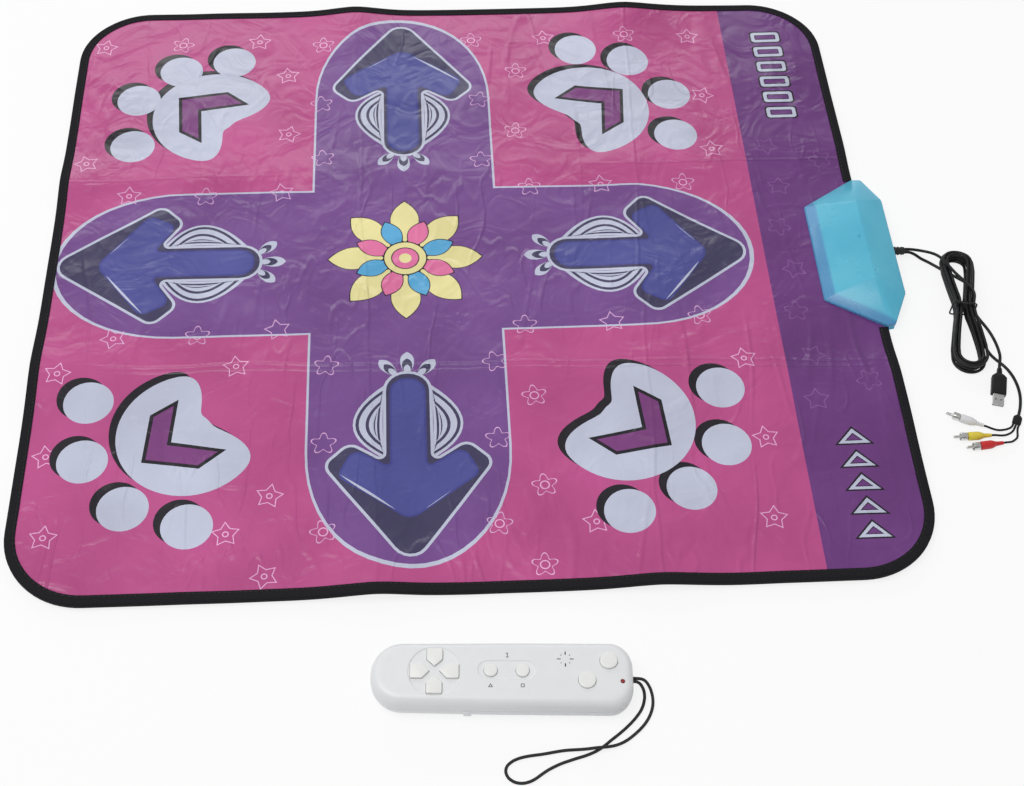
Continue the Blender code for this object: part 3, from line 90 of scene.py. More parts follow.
def rotation(degrees, axis):
    return Matrix.Rotation(math.radians(degrees), 4, axis)


eye = bpy.data.cameras.new("camera")
eye.lens = 54.39
eye.sensor_width = 36
camera = added("camera", eye)
aim = rotation(-5.01, "Z") @ rotation(36.01, "X") @ rotation(2.39, "Z")
camera.matrix_world = Matrix.Translation((-0.0398, -1.1485, 1.3346)) @ aim
bpy.context.scene.camera = camera
print("camera height", round(camera.matrix_world.translation.z, 3), "m")

# %% [markdown]
# ## Building materials from nodes
# A material is a small graph: textures and colours feed the sockets of one Principled shader. Wiring each
# graph by hand in code gets long, so one helper adds a node, sets its options, and either fills a socket
# with a value or links it to another node's output. The short ones after it are what most finishes share:
# sums, a noise, a range, a blend of two tones, and the wires that end at the shader.


# %% Node helper
def node(tree, kind, sockets=None, **options):
    made = tree.nodes.new(kind)
    for key, value in options.items():
        setattr(made, key, value)
    for key, value in (sockets or {}).items():
        if isinstance(value, bpy.types.NodeSocket):
            tree.links.new(value, made.inputs[key])
        else:
            made.inputs[key].default_value = value
    return made


def maths(tree, operation, first, second=0.0):
    return node(tree, "ShaderNodeMath", {0: first, 1: second}, operation=operation).outputs[0]


def times(tree, a, b):
    return maths(tree, "MULTIPLY", a, b)


def plus(tree, a, b):
    return maths(tree, "ADD", a, b)


def coordinates(tree):
    return node(tree, "ShaderNodeTexCoord").outputs["Object"]


def cloud(tree, place, scale, detail, output="Fac", **more):
    sockets = {"Vector": place, "Scale": scale, "Detail": detail, **more}
    return node(tree, "ShaderNodeTexNoise", sockets).outputs[output]


def ranged(tree, value, start, stop, low=0.0, high=1.0, kind="LINEAR"):
    ends = {0: value, 1: start, 2: stop, 3: low, 4: high}
    return node(tree, "ShaderNodeMapRange", ends, interpolation_type=kind).outputs[0]


def vectors(tree, operation, first, second, output="Vector"):
    return node(tree, "ShaderNodeVectorMath", {0: first, 1: second}, operation=operation).outputs[output]


def mixed_by(tree, factor, first, second):
    return node(tree, "ShaderNodeMix", {0: factor, 6: first, 7: second}, data_type="RGBA").outputs[2]


def wire(tree, surface, colour=None, rough=None, height=None, distance=0.0, strength=1.0):
    # Links what is given to the shader: a colour, a roughness, and a height that becomes a bump
    if colour is not None:
        tree.links.new(colour, surface.inputs["Base Color"])
    if rough is not None:
        tree.links.new(rough, surface.inputs["Roughness"])
    if height is not None:
        bump = node(tree, "ShaderNodeBump", {"Height": height, "Distance": distance, "Strength": strength})
        tree.links.new(bump.outputs[0], surface.inputs["Normal"])


def set_shader(finish, **values):
    for name, value in values.items():
        finish.node_tree.nodes["Principled BSDF"].inputs[name.replace("_", " ")].default_value = value


def new_finish(name, roughness=0.5, metallic=0.0):
    finish = bpy.data.materials.new(name)
    finish.use_nodes = True
    surface = finish.node_tree.nodes["Principled BSDF"]
    surface.inputs["Roughness"].default_value = roughness
    surface.inputs["Metallic"].default_value = metallic
    return finish, finish.node_tree, surface


def blend_tones(tree, factor, low, high, start=0.3, stop=0.7):
    ramp = node(tree, "ShaderNodeValToRGB", {"Fac": factor})
    for stop_at, place, colour in ((0, start, low), (1, stop, high)):
        ramp.color_ramp.elements[stop_at].position = place
        ramp.color_ramp.elements[stop_at].color = (*colour, 1)
    return ramp.outputs["Color"]


def wear_colours(rgb, amount):
    low = [max(0.0, c * (1 - amount)) for c in rgb]
    high = [min(1.0, c * (1 + amount) + 0.02 * amount) for c in rgb]
    return low, high


# %% [markdown]
# ## A floor that stays white
# A studio sweep looks white because it is lit hard. Turning the lamps up would bleach the mat too.
# Instead the floor is lit plainly, and only rays that look straight at it, or see it in a reflection, get
# a little light of its own added. The shadow under the mat stays, because that added light is only part
# of what the camera sees. Its share grows with distance, so that the floor's far edge melts into the
# white room.

# %% Floor and room
bpy.ops.object.select_all(action="DESELECT")
bpy.ops.mesh.primitive_grid_add(x_subdivisions=8, y_subdivisions=8, size=16, location=(0, 0, -0.0004))
floor = bpy.context.object
floor.name = "studio_floor"
bpy.ops.object.transform_apply(location=True, rotation=True, scale=True)
floor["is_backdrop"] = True

sweep, tree, surface = new_finish("white_sweep", 0.9)
set_shader(sweep, Base_Color=(0.91, 0.91, 0.915, 1), Specular_IOR_Level=0.1)
path = node(tree, "ShaderNodeLightPath").outputs
seen = maths(tree, "MAXIMUM", path["Is Camera Ray"], path["Is Glossy Ray"])
seen = maths(tree, "MAXIMUM", seen, path["Is Transmission Ray"])
away = node(tree, "ShaderNodeVectorMath", {0: coordinates(tree)}, operation="LENGTH").outputs["Value"]
share = times(tree, seen, ranged(tree, away, 1.2, 4.0, 0.82, 1.0))
glow = node(tree, "ShaderNodeEmission", {"Color": (1, 1, 1, 1), "Strength": 1.0})
mixed = node(tree, "ShaderNodeMixShader", {0: share, 1: surface.outputs[0], 2: glow.outputs[0]})
tree.links.new(mixed.outputs[0], tree.nodes["Material Output"].inputs["Surface"])
floor.data.materials.append(sweep)

room = bpy.data.worlds.new("white_room")
bpy.context.scene.world = room
room.use_nodes = True
tree = room.node_tree
camera_ray = node(tree, "ShaderNodeLightPath").outputs["Is Camera Ray"]
strength = ranged(tree, camera_ray, 0.0, 1.0, 0.48, 1.0)
back = tree.nodes["Background"]
back.inputs["Color"].default_value = (1, 1, 1, 1)
tree.links.new(strength, back.inputs["Strength"])

# %% [markdown]
# ## Soft boxes
# Vinyl shows its creases only where something bright is mirrored in them. A wide lamp would veil the
# whole print with one pale glare. So the lamp behind the mat is long and narrow: flat vinyl mirrors what
# is beside it, and only the slopes of a crease catch it, as thin streaks. A square one overhead gives
# form.


# %% Lamps
def soft_box(name, place, target, wide, high, watts):
    lamp = bpy.data.lights.new(name, "AREA")
    lamp.shape = "RECTANGLE"
    lamp.size = wide
    lamp.size_y = high
    lamp.energy = watts
    holder = added(name, lamp)
    holder.location = place
    holder.rotation_euler = (Vector(target) - Vector(place)).to_track_quat("-Z", "Y").to_euler()


soft_box("box_back", (-0.3, 2.3, 1.45), (0.0, 0.1, 0.0), 2.6, 0.36, 15)
soft_box("box_top", (-0.9, -0.4, 2.6), (0.1, -0.1, 0.0), 1.6, 1.6, 35)
bpy.context.scene.view_settings.view_transform = "Standard"

# %% [markdown]
# ## Black lead material
# A lead's jacket is soft black plastic with a faint orange-peel skin, so its highlights break up a
# little. A flat black would look cut out of paper. A noise along the lead makes it here and there duller,
# and a second, finer one gives the skin its bump.


# %% Finishes with a grain
def grained(name, rgb, rough, grain=0.0006, depth=0.00002, vary=0.12, metallic=0.0, spread=0.10):
    finish, tree, surface = new_finish(name, rough, metallic)
    place = coordinates(tree)
    broad = cloud(tree, place, 70.0, 4.0)
    tones = blend_tones(tree, broad, *wear_colours(rgb, vary))
    dull = ranged(tree, broad, 0.3, 0.7, max(0.02, rough - spread / 2), min(1.0, rough + spread / 2))
    wire(tree, surface, tones, dull, cloud(tree, place, 1.0 / grain, 2.0), depth, 0.6)
    return finish


lead_black = grained("lead_jacket", (0.0065, 0.0065, 0.0075), 0.4, 0.0012, 0.00006)
set_shader(lead_black, Specular_IOR_Level=0.3)
print("finish", lead_black.name)

# %% [markdown]
# ## Curves for the leads
# A lead is a length of something springy, so it can't turn a sharp corner. Drawing it as a curve through
# a few points keeps every bend soft. The points come from a Catmull-Rom spline, whose first and last
# stretches are straight, so that a lead leaves its grommet squarely.


# %% Smooth paths
def along(points, step):
    walked = [0.0]
    for a, b in zip(points, points[1:]):
        walked.append(walked[-1] + (b - a).length)
    count = max(2, round(walked[-1] / step))
    out = []
    k = 0
    for i in range(count + 1):
        want = walked[-1] * i / count
        while k < len(points) - 2 and walked[k + 1] < want:
            k += 1
        span = walked[k + 1] - walked[k]
        out.append(points[k].lerp(points[k + 1], min(1.0, (want - walked[k]) / span if span else 0.0)))
    return out


def smooth_path(route, step):
    pts = [Vector(p) for p in route]
    fine = []
    for a, b, c, d in zip(pts, pts[1:], pts[2:], pts[3:]):
        square = 2 * a - 5 * b + 4 * c - d
        cube = 3 * b - a - 3 * c + d
        for i in range(20):
            t = i / 20
            fine.append(0.5 * (2 * b + (c - a) * t + square * t**2 + cube * t**3))
    fine.append(pts[-2])
    return [pts[0], *along(fine, step), pts[-1]]


def belongs(piece, body, *stands_for, slot=None):
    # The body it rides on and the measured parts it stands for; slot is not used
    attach(piece, body)
    if stands_for:
        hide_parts(*stands_for)
    return piece


def round_curve(name, diameter):
    curve = bpy.data.curves.new(name, "CURVE")
    curve.dimensions = "3D"
    curve.bevel_depth = diameter / 2
    curve.bevel_resolution = 4
    curve.use_fill_caps = True
    return curve


def lead_curve(name, points, diameter, finish, body, slot, *stands_for):
    curve = round_curve(name, diameter)
    curve.resolution_u = 3
    spline = curve.splines.new("BEZIER")
    spline.bezier_points.add(len(points) - 1)
    for knot, place in zip(spline.bezier_points, points):
        knot.co = place
        knot.handle_left_type = "AUTO"
        knot.handle_right_type = "AUTO"
    curve.materials.append(finish)
    return belongs(added(name, curve), body, *stands_for, slot=slot)


def length_of(points):
    return sum((b - a).length for a, b in zip(points, points[1:]))


# %% [markdown]
# ## The hank
# As the mat is sold, its two leads are folded together into one long hank with a tie round its waist.
# Each turn runs down one side, folds round the bottom, and comes up the other side. The turns nest inside
# each other, one lead thickness apart. A formula places every point, so no turn can cut another.

# %% Hank formula
LEAD_D = 3.4 * MM
LEAD_STEP = 4.0 * MM
PIG_D = 2.4 * MM
GAP = 0.3 * MM
HANK_TOP = Vector((560 * MM, -9 * MM, 0))
HANK_TILT = math.radians(5.6)
HANK_LEN = 168 * MM
FOLD_OUT = 18.3 * MM
FOLD_TOP = FOLD_OUT + LEAD_D / 2
FOLD_LOW = HANK_LEN - FOLD_TOP
RUN_LEN = FOLD_LOW - FOLD_TOP
WAIST_U = HANK_LEN / 2
WAIST_IN = 8.2 * MM
WAIST_HALF = 60 * MM
TURNS = 4
RAISE = 4.0 * MM
LAYERS = [LEAD_D / 2 + LEAD_STEP * k for k in range(4)]
FOLD_R = FOLD_OUT - LEAD_STEP * TURNS / 4
FOLD_LEN = math.pi * FOLD_R
TURN_LEN = 2 * RUN_LEN + 2 * FOLD_LEN


def ease(t):
    t = min(1.0, max(0.0, t))
    return t * t * (3 - 2 * t)


def hank_point(u, v, z):
    side = Vector((math.cos(HANK_TILT), -math.sin(HANK_TILT), 0))
    down = Vector((-math.sin(HANK_TILT), -math.cos(HANK_TILT), 0))
    return HANK_TOP + side * v + down * u + Vector((0, 0, z))


def hank_spot(t, z_start, z_end):
    r = FOLD_OUT - LEAD_STEP * (t if t < TURNS / 2 else TURNS - t)
    z = z_start + (z_end - z_start) * ease((t - TURNS / 2 + 0.15) / 0.3)
    s = (t % 1.0) * TURN_LEN
    first = FOLD_LOW - WAIST_U
    if s < first:
        u, v = WAIST_U + s, r
    elif s < first + FOLD_LEN:
        a = (s - first) / FOLD_R
        u, v = FOLD_LOW + r * math.sin(a), r * math.cos(a)
    elif s < first + FOLD_LEN + RUN_LEN:
        u, v = FOLD_LOW - (s - first - FOLD_LEN), -r
    elif s < first + 2 * FOLD_LEN + RUN_LEN:
        a = (s - first - FOLD_LEN - RUN_LEN) / FOLD_R
        u, v = FOLD_TOP - r * math.sin(a), -r * math.cos(a)
    else:
        u, v = FOLD_TOP + (s - first - 2 * FOLD_LEN - RUN_LEN), r
    near = 1 - ease(abs(u - WAIST_U) / WAIST_HALF)
    v -= math.copysign(WAIST_IN * near, v)
    lift = RAISE * ease((u + 8 * MM) / (26 * MM)) * (1 - ease((u - 96 * MM) / (50 * MM)))
    return hank_point(u, v, z + lift)


def hank_path(t1, z_start, z_end):
    marks = [0.0, RUN_LEN / 4]
    marks += [RUN_LEN / 2 + FOLD_LEN * k / 8 for k in range(9)]
    marks += [RUN_LEN / 2 + FOLD_LEN + RUN_LEN * k / 4 for k in range(1, 4)]
    marks += [RUN_LEN * 1.5 + FOLD_LEN + FOLD_LEN * k / 8 for k in range(9)]
    marks += [RUN_LEN * 1.75 + 2 * FOLD_LEN]
    stops = [k + m / TURN_LEN for k in range(6) for m in marks]
    stops = [0.0, *[t for t in stops if 0.02 < t < t1 - 0.02], t1]
    return [hank_spot(t, z_start, z_end) for t in stops]


USB_TURNS = 4.0
AV_TURNS = 4.10
usb_hank = hank_path(USB_TURNS, LAYERS[3], LAYERS[2])
av_hank = hank_path(AV_TURNS, LAYERS[0], LAYERS[1])
print("points in the hank", len(usb_hank) + len(av_hank))

# %% [markdown]
# ## Where each lead runs
# Both leads leave the grommet on the receiver's outer face. The picture lead slips under the hank, the
# other goes over it. After the hank each runs on to its plugs. The numbers are places in millimetres,
# first the way across, then the way back, then the height of the lead's middle above the floor.

# %% Routes
AV_RUN = [
    (503.3, -7.2, 10.2), (508.0, -7.2, 10.1), (515.0, -8.2, 7.4), (523.5, -11.0, 2.6), (532.5, -17.0, 1.7),
    (542.0, -25.5, 1.7), (552.0, -34.0, 1.7), (562.0, -42.5, 1.7), (570.6, -51.5, 1.7), (572.6, -62.0, 1.9),
    (569.6, -73.0, 3.2), (565.2, -82.5, 5.0),
]
USB_RUN = [
    (503.3, -2.8, 10.2), (508.0, -2.8, 10.2), (517.0, -3.6, 9.6), (527.0, -6.4, 9.8), (534.0, -13.0, 13.6),
    (538.0, -22.5, 19.0), (542.0, -33.0, 21.8), (548.5, -47.5, 22.1), (556.0, -60.0, 22.0),
    (560.8, -68.0, 22.1), (563.6, -74.5, 21.9), (564.8, -80.4, 20.6),
]
USB_TAIL = [
    (564.2, -106.5, 13.2), (569.2, -114.5, 11.0), (574.8, -124.0, 8.2), (578.6, -136.0, 6.4),
    (579.6, -150.0, 6.5), (578.4, -160.5, 6.9),
]
AV_TAIL = [
    (568.2, -144.5, 4.0), (571.6, -151.5, 2.0), (577.0, -159.0, 1.7), (583.6, -168.0, 1.7),
    (588.6, -180.0, 1.7), (590.8, -194.0, 1.7), (590.0, -209.0, 1.7), (585.5, -225.0, 1.7),
    (579.0, -239.0, 1.7),
]
PLUGS = {
    "usb": (Vector((575.6, -171.5, 4.2)) * MM, Vector((-0.266, -0.964, 0)).normalized()),
    "white": (Vector((540.5, -246.0, 4.8)) * MM, Vector((-0.90, 0.43, 0)).normalized()),
    "yellow": (Vector((545.5, -258.6, 4.8)) * MM, Vector((-1.0, -0.02, 0)).normalized()),
    "red": (Vector((556.0, -268.6, 4.8)) * MM, Vector((-0.993, -0.115, 0)).normalized()),
}


def in_metres(route):
    return [Vector(p) * MM for p in route]


# %% [markdown]
# ## Two long leads
# The three stretches of each lead are strung on one spline, so that it reads as a single unbroken cable.


# %% Long leads
def whole_lead(run, hank, turns, tail, end=None):
    straight = 6 * MM
    head, foot = hank[0], hank[-1]
    coming = (head - hank_spot(-0.09, head.z, head.z)).normalized()
    coming.z = 0.0
    going = (hank_spot(turns + 0.09, foot.z, foot.z) - foot).normalized()
    going.z = 0.0
    start = smooth_path([*in_metres(run), head - coming * straight, head - coming * 1.5 * GAP], 2.5 * LEAD_D)
    route = [foot + going * 1.5 * GAP, foot + going * straight, *in_metres(tail)]
    if end is not None:
        rear, turn = end
        route += [rear - turn * straight, rear - turn * GAP]
    return [*start[:-1], *hank, *smooth_path(route, 2.5 * LEAD_D)[1:]]


usb_points = whole_lead(USB_RUN, usb_hank, USB_TURNS, USB_TAIL, PLUGS["usb"])
av_points = whole_lead(AV_RUN, av_hank, AV_TURNS, AV_TAIL)
usb_lead, av_lead = (
    lead_curve(f"{name}_lead", points, LEAD_D, lead_black, "mat", "lead",
               f"{name}_run", f"{name}_hank", f"{name}_tail")
    for name, points in (("usb", usb_points), ("av", av_points))
)
print("lead lengths", round(length_of(usb_points), 3), round(length_of(av_points), 3))

# %% [markdown]
# ## Three thin leads
# The picture lead splits into three thin ones, for sound left, picture and sound right. They fan out
# from the split and each ends in a plug of its own colour.

# %% Thin leads
av_end = av_points[-1]
av_turn = (av_points[-1] - av_points[-2]).normalized()
av_side = Vector((av_turn.y, -av_turn.x, 0)).normalized()
FAN = {
    "white": (2.9, [(569.8, -247.6, 1.3), (558.0, -250.6, 1.9), (549.0, -249.6, 3.8)]),
    "yellow": (0.0, [(570.8, -252.4, 1.3), (561.0, -257.4, 2.2)]),
    "red": (-2.9, [(576.6, -250.6, 1.3), (574.0, -260.2, 1.9), (566.5, -266.6, 3.8)]),
}
for colour, (offset, route) in FAN.items():
    rear, turn = PLUGS[colour]
    begin = av_end + av_turn * GAP + av_side * offset * MM
    points = [begin, begin + av_turn * PIG_D * 1.5, *in_metres(route)]
    points += [rear - turn * (PIG_D * 1.5 + GAP), rear - turn * GAP]
    path = smooth_path(points, 2.5 * PIG_D)
    thin = lead_curve(f"thin_lead_{colour}", path, PIG_D, lead_black, "mat", "lead", f"{colour}_lead")
    print(colour, "lead", round(length_of(path), 3), "m,", len(path), "points")

# %% [markdown]
# ## The wrist lanyard
# The handset's lanyard is a soft round cord. It leaves the end of the handset, makes a long narrow loop on
# the floor, passes over itself once in a low hump, and goes back in beside where it began. Its material is
# woven, not moulded, so a diagonal wave runs along the cord's own length, which Blender stores as its UV.

# %% Woven cord material
cord_weave, tree, surface = new_finish("woven_cord", 0.78)
uv = node(tree, "ShaderNodeTexCoord").outputs["UV"]
stretched = node(tree, "ShaderNodeMapping", {"Vector": uv, "Scale": (330.0, 5.0, 1.0)}).outputs[0]
strands = node(tree, "ShaderNodeTexWave", {"Vector": stretched, "Scale": 0.5, "Distortion": 0.4},
               bands_direction="DIAGONAL").outputs["Fac"]
height = plus(tree, strands, cloud(tree, coordinates(tree), 2200.0, 2.0))
tones = blend_tones(tree, height, (0.006, 0.006, 0.007), (0.026, 0.026, 0.028), 0.4, 1.5)
wire(tree, surface, tones, None, height, 0.0003, 0.8)
print("finish", cord_weave.name)

# %% Lanyard
HAND_L = 244 * MM
HAND_PLACE = Matrix.Translation((17 * MM, -520.5 * MM, 0)) @ rotation(-2.86, "Z")
LANYARD_D = 3.0 * MM
LOOP = [
    (151.5, -525.6, 8.6), (156.6, -535.0, 3.4), (156.4, -548.0, 1.5), (149.8, -562.0, 1.5),
    (138.6, -573.6, 1.5), (125.6, -582.4, 1.6), (112.9, -587.0, 4.4), (103.0, -588.0, 5.8),
    (90.0, -588.0, 3.2), (70.5, -587.9, 1.5), (52.0, -590.4, 1.5), (35.6, -592.2, 1.5),
    (24.4, -595.5, 1.5), (17.4, -601.5, 1.5), (17.4, -609.6, 1.5), (24.0, -616.0, 1.5),
    (33.5, -617.2, 1.5), (43.2, -613.6, 1.5), (53.0, -607.0, 1.5), (66.0, -600.8, 1.5),
    (80.0, -596.4, 1.5), (93.2, -592.6, 1.5), (104.4, -587.4, 1.5), (113.6, -580.6, 1.5),
    (125.6, -571.6, 1.5), (137.0, -561.4, 1.5), (146.0, -550.0, 1.6), (149.6, -538.6, 3.6),
    (147.6, -530.6, 8.2),
]
out_dir = (HAND_PLACE.to_3x3() @ Vector((1, 0, 0))).normalized()
lace_out = HAND_PLACE @ Vector((HAND_L / 2 + GAP, 2.6 * MM, 12 * MM))
lace_in = HAND_PLACE @ Vector((HAND_L / 2 + GAP, -0.9 * MM, 12 * MM))
into = out_dir * 3.0 * MM
route = [lace_out - into, lace_out + out_dir * 4.0 * MM, *in_metres(LOOP), lace_in + out_dir * 4.0 * MM,
         lace_in - into]
lanyard_points = smooth_path(route, 2.4 * LANYARD_D)
lanyard = lead_curve("lanyard", lanyard_points, LANYARD_D, cord_weave, "handset", "lanyard", "wrist_lanyard")
print("lanyard", round(length_of(lanyard_points), 3), "m,", len(lanyard_points), "points")

# %% [markdown]
# ## How a folded mat lies
# The mat comes out of its box folded, and vinyl remembers it: two creases run front to back, two side to
# side, and the sewn edge lifts off the floor where a crease reaches it. All its layers lie on each other,
# so they all have to follow one shape. One height function gives the lift at any place. It is worked out
# once on a grid, and read from that grid for every layer, which keeps the layers the same distance apart.

# %% Lift of the mat
MAT_X, MAT_Y, CORNER = 465.0, 425.0, 85.0
BOX_Y = -2.0
GRID = 8.0
FIELD_X, FIELD_Y = 472, 432
X_STEPS = int(2 * FIELD_X / GRID)
Y_STEPS = int(2 * FIELD_Y / GRID)


def raw_lift(x, y):
    left_fold = -112 - 0.03 * y
    right_fold = 200 + 0.05 * y
    far_fold = 139 + 0.015 * x
    near_fold = -146 - 0.02 * x
    h = 0.0
    for off, tall, wide in ((x - left_fold, 2.4, 30), (x - right_fold, 2.0, 34), (y - far_fold, 1.3, 26),
                            (y - near_fold, 1.5, 30)):
        h += tall * math.exp(-abs(off) ** 1.5 / wide ** 1.5)
    edge_y = math.exp(-((MAT_Y - abs(y)) / 70) ** 2)
    edge_x = math.exp(-((MAT_X - abs(x)) / 60) ** 2)
    peaks = 5.2 * math.exp(-((x - left_fold) / 46) ** 2) + 5.6 * math.exp(-((x - right_fold) / 52) ** 2)
    h += edge_y * peaks
    h += edge_x * (x < 0) * 4.4 * math.exp(-((y - far_fold) / 40) ** 2)
    h += edge_x * (x < 0) * 5.0 * math.exp(-((y - near_fold) / 44) ** 2)
    h += edge_x * (x > 0) * 3.4 * math.exp(-((y + 215) / 60) ** 2)
    h += 1.7 * (1 + noise.noise(Vector((x / 190, y / 170, 3.1))))
    h += 0.55 * (1 + noise.noise(Vector((x / 46, y / 52, 8.4))))
    # The stiff receiver box holds the mat flat
    return h * ease(max(abs(x - 470) - 85, abs(y - BOX_Y) - 122) / 60)


lift_grid = np.array([[raw_lift(i * GRID - FIELD_X, j * GRID - FIELD_Y) for j in range(Y_STEPS + 1)]
                      for i in range(X_STEPS + 1)])
lift_grid -= min(0.0, lift_grid.min())


def lift(x, y):
    u = np.clip((np.asarray(x, float) + FIELD_X) / GRID, 0, X_STEPS - 1e-6)
    v = np.clip((np.asarray(y, float) + FIELD_Y) / GRID, 0, Y_STEPS - 1e-6)
    i, j = u.astype(int), v.astype(int)
    a, b = u - i, v - j
    near = lift_grid[i, j] * (1 - a) + lift_grid[i + 1, j] * a
    far = lift_grid[i, j + 1] * (1 - a) + lift_grid[i + 1, j + 1] * a
    return near * (1 - b) + far * b


print("lift in mm: least", round(float(lift_grid.min()), 2), "most", round(float(lift_grid.max()), 2))

# %% [markdown]
# ## Outlines
# Everything printed on the mat is a closed outline. A few small tools are enough to draw them all: corners
# rounded to a radius, an outline moved in or out, a lens between two points, and a shape turned into place.
# Numbers are millimetres from the mat's middle.


# %% Outline tools
def fillet(corners, n=6):
    out = []
    for i, (x, y, r) in enumerate(corners):
        corner = Vector((x, y))
        before = (Vector(corners[i - 1][:2]) - corner).normalized()
        after = (Vector(corners[(i + 1) % len(corners)][:2]) - corner).normalized()
        half = before.angle(after) / 2
        centre = corner + (before + after).normalized() * (r / math.sin(half))
        start = corner + before * (r / math.tan(half)) - centre
        sweep = (math.pi - 2 * half) * (1 if before.cross(after) < 0 else -1)
        for k in range(n + 1):
            out.append(tuple(centre + Matrix.Rotation(sweep * k / n, 2) @ start))
    return out


def moved_in(ring, amount):
    out = []
    for i, b in enumerate(ring):
        a, c = Vector(ring[i - 1]), Vector(ring[(i + 1) % len(ring)])
        d1, d2 = (Vector(b) - a).normalized(), (c - Vector(b)).normalized()
        n1, n2 = Vector((-d1.y, d1.x)), Vector((-d2.y, d2.x))
        mid = (n1 + n2).normalized()
        out.append(tuple(Vector(b) + mid * (amount / max(0.45, mid.dot(n1)))))
    return out


def turned(ring, x, y, degrees=0.0, size=1.0, mirror=1):
    c, s = math.cos(math.radians(degrees)), math.sin(math.radians(degrees))
    return [(x + size * (c * mirror * px - s * py), y + size * (s * mirror * px + c * py)) for px, py in ring]


def round_box(x0, y0, x1, y1, r, n=6):
    return fillet([(x0, y0, r), (x1, y0, r), (x1, y1, r), (x0, y1, r)], n)


def disc(x, y, r, n=40):
    return [(x + r * math.cos(2 * math.pi * i / n), y + r * math.sin(2 * math.pi * i / n)) for i in range(n)]


def leaf(start, bend_out, bend_in, end, n=14):
    # From start to end along one soft curve, and back along another
    out = []
    for bend, order in ((bend_out, range(n)), (bend_in, range(n, 0, -1))):
        for i in order:
            t = i / n
            weights = ((1 - t) ** 2, 2 * t * (1 - t), t * t)
            out.append(tuple(sum(w * p[k] for w, p in zip(weights, (start, bend, end))) for k in (0, 1)))
    return out


def flat_colour(r, g, b):
    return tuple((c / 255 / 12.92) if c < 10 else ((c / 255 + 0.055) / 1.055) ** 2.4 for c in (r, g, b))


# %% [markdown]
# ## Ten step zones
# Each zone is a place to stamp on. The four arrows have a round tip, hanging barbs and a round-ended
# shaft. The four in the corners are round with a bite out of the side that faces the middle. The last two
# are long rounded bars on the side strip. Each becomes its own piece, so that it can press down.

# %% Zones
ZONE_X, ZONE_Y = -66.0, 4.0
ARROW = fillet([
    (0.0, 10.7, 20), (-90, -115, 14), (-61, -143, 14), (-26, -119, 4), (-26, -232, 25),
    (26, -232, 25), (26, -119, 4), (61, -143, 14), (90, -115, 14),
])
ARROWS = {
    "pad_up": (ZONE_X, 396.0, 0), "pad_left": (-458.0, ZONE_Y, 90),
    "pad_down": (ZONE_X, -388.0, 180), "pad_right": (326.0, ZONE_Y, -90),
}
PAWS = {
    "pad_corner_ne": (1, 1), "pad_corner_nw": (-1, 1), "pad_corner_sw": (-1, -1), "pad_corner_se": (1, -1),
}
PAW_X, PAW_Y = 234, 230


def paw_outline(sx, sy, n=120):
    out = []
    for i in range(n):
        off = 2 * math.pi * i / n - math.pi
        bite = math.exp(-(((off + math.radians(15)) / math.radians(43)) ** 4))
        r = 75 + 8.5 * math.cos(off + math.radians(62)) - 51 * bite
        a = off - math.pi * 0.75
        out.append((ZONE_X + sx * (PAW_X + r * math.cos(a)), ZONE_Y + sy * (PAW_Y + r * math.sin(a))))
    return out if sx * sy > 0 else out[::-1]


zones = {name: turned(ARROW, x, y, turn) for name, (x, y, turn) in ARROWS.items()}
zones |= {name: paw_outline(sx, sy) for name, (sx, sy) in PAWS.items()}
zones["pad_select"] = round_box(366, 206, 430, 382, 18)
zones["pad_start"] = round_box(366, -392, 430, -236, 18)
print("zones", len(zones))

# %% [markdown]
# ## The printed picture
# The print is painted like a screen print, one flat colour after another: later shapes cover earlier
# ones. A picture file could hold it, but it would blur up close. Outlines keep every edge sharp at any
# distance. Each layer is an outer outline, sometimes an inner one that stays open, and a colour.

# %% Ground, strip and cross
PINK = flat_colour(186, 78, 137)
STRIP = flat_colour(107, 57, 124)
CROSS = flat_colour(117, 74, 141)
PALE = flat_colour(191, 195, 215)
INK = flat_colour(24, 20, 30)
NAVY = flat_colour(64, 59, 92)
BLUE = flat_colour(78, 80, 150)
DEEP_BLUE = flat_colour(68, 70, 142)
CREAM = flat_colour(232, 222, 158)
ROSE = flat_colour(226, 116, 164)
SKY = flat_colour(88, 168, 214)
VIOLET = flat_colour(122, 60, 122)
paint = [([(343, -440), (480, -440), (480, 440), (343, 440)], None, STRIP)]


def fill(ring, colour):
    paint.append((ring, None, colour))


def cross_outline(grow):
    # Four arms with round ends, from the middle of the zones
    half = 104 + 0.5 * grow
    ends = (
        (ZONE_X, 400 + grow, 0), (-455 - grow, ZONE_Y, 90),
        (ZONE_X, -393 - grow, 180), (326 + grow, ZONE_Y, -90),
    )
    out = []
    for tip_x, tip_y, turn in ends:
        arm = []
        for i in range(25):
            a = math.radians(180 * i / 24)
            arm.append((half * math.cos(a), (138 + grow) * (math.sin(a) ** 0.95 - 1)))
        out += turned(arm, tip_x, tip_y, turn)
        c, s = round(math.cos(math.radians(turn))), round(math.sin(math.radians(turn)))
        out.append((ZONE_X - c * half - s * half, ZONE_Y + c * half - s * half))
    return out


# %% [markdown]
# ## Small motifs
# The ground is strewn with little line drawings, a hand's width apart. Here they are plain five-petal
# flowers and stars in thin pale lines, set out in a brick pattern with each one turned a little. They
# keep clear of the zones, so they are scattered first and those that land on a zone are dropped.


# %% Motifs
def starry(r, deep, n=5, steps=60):
    out = []
    for i in reversed(range(steps)):
        a = 2 * math.pi * i / steps
        far = r * (1 - deep + deep * math.cos(n * a))
        out.append((far * math.sin(a), far * math.cos(a)))
    return out


def pointed(r, small, n=5):
    out = []
    for i in range(2 * n):
        a = math.pi * i / n
        far = small if i % 2 else r
        out.append((-far * math.sin(a), far * math.cos(a)))
    return out


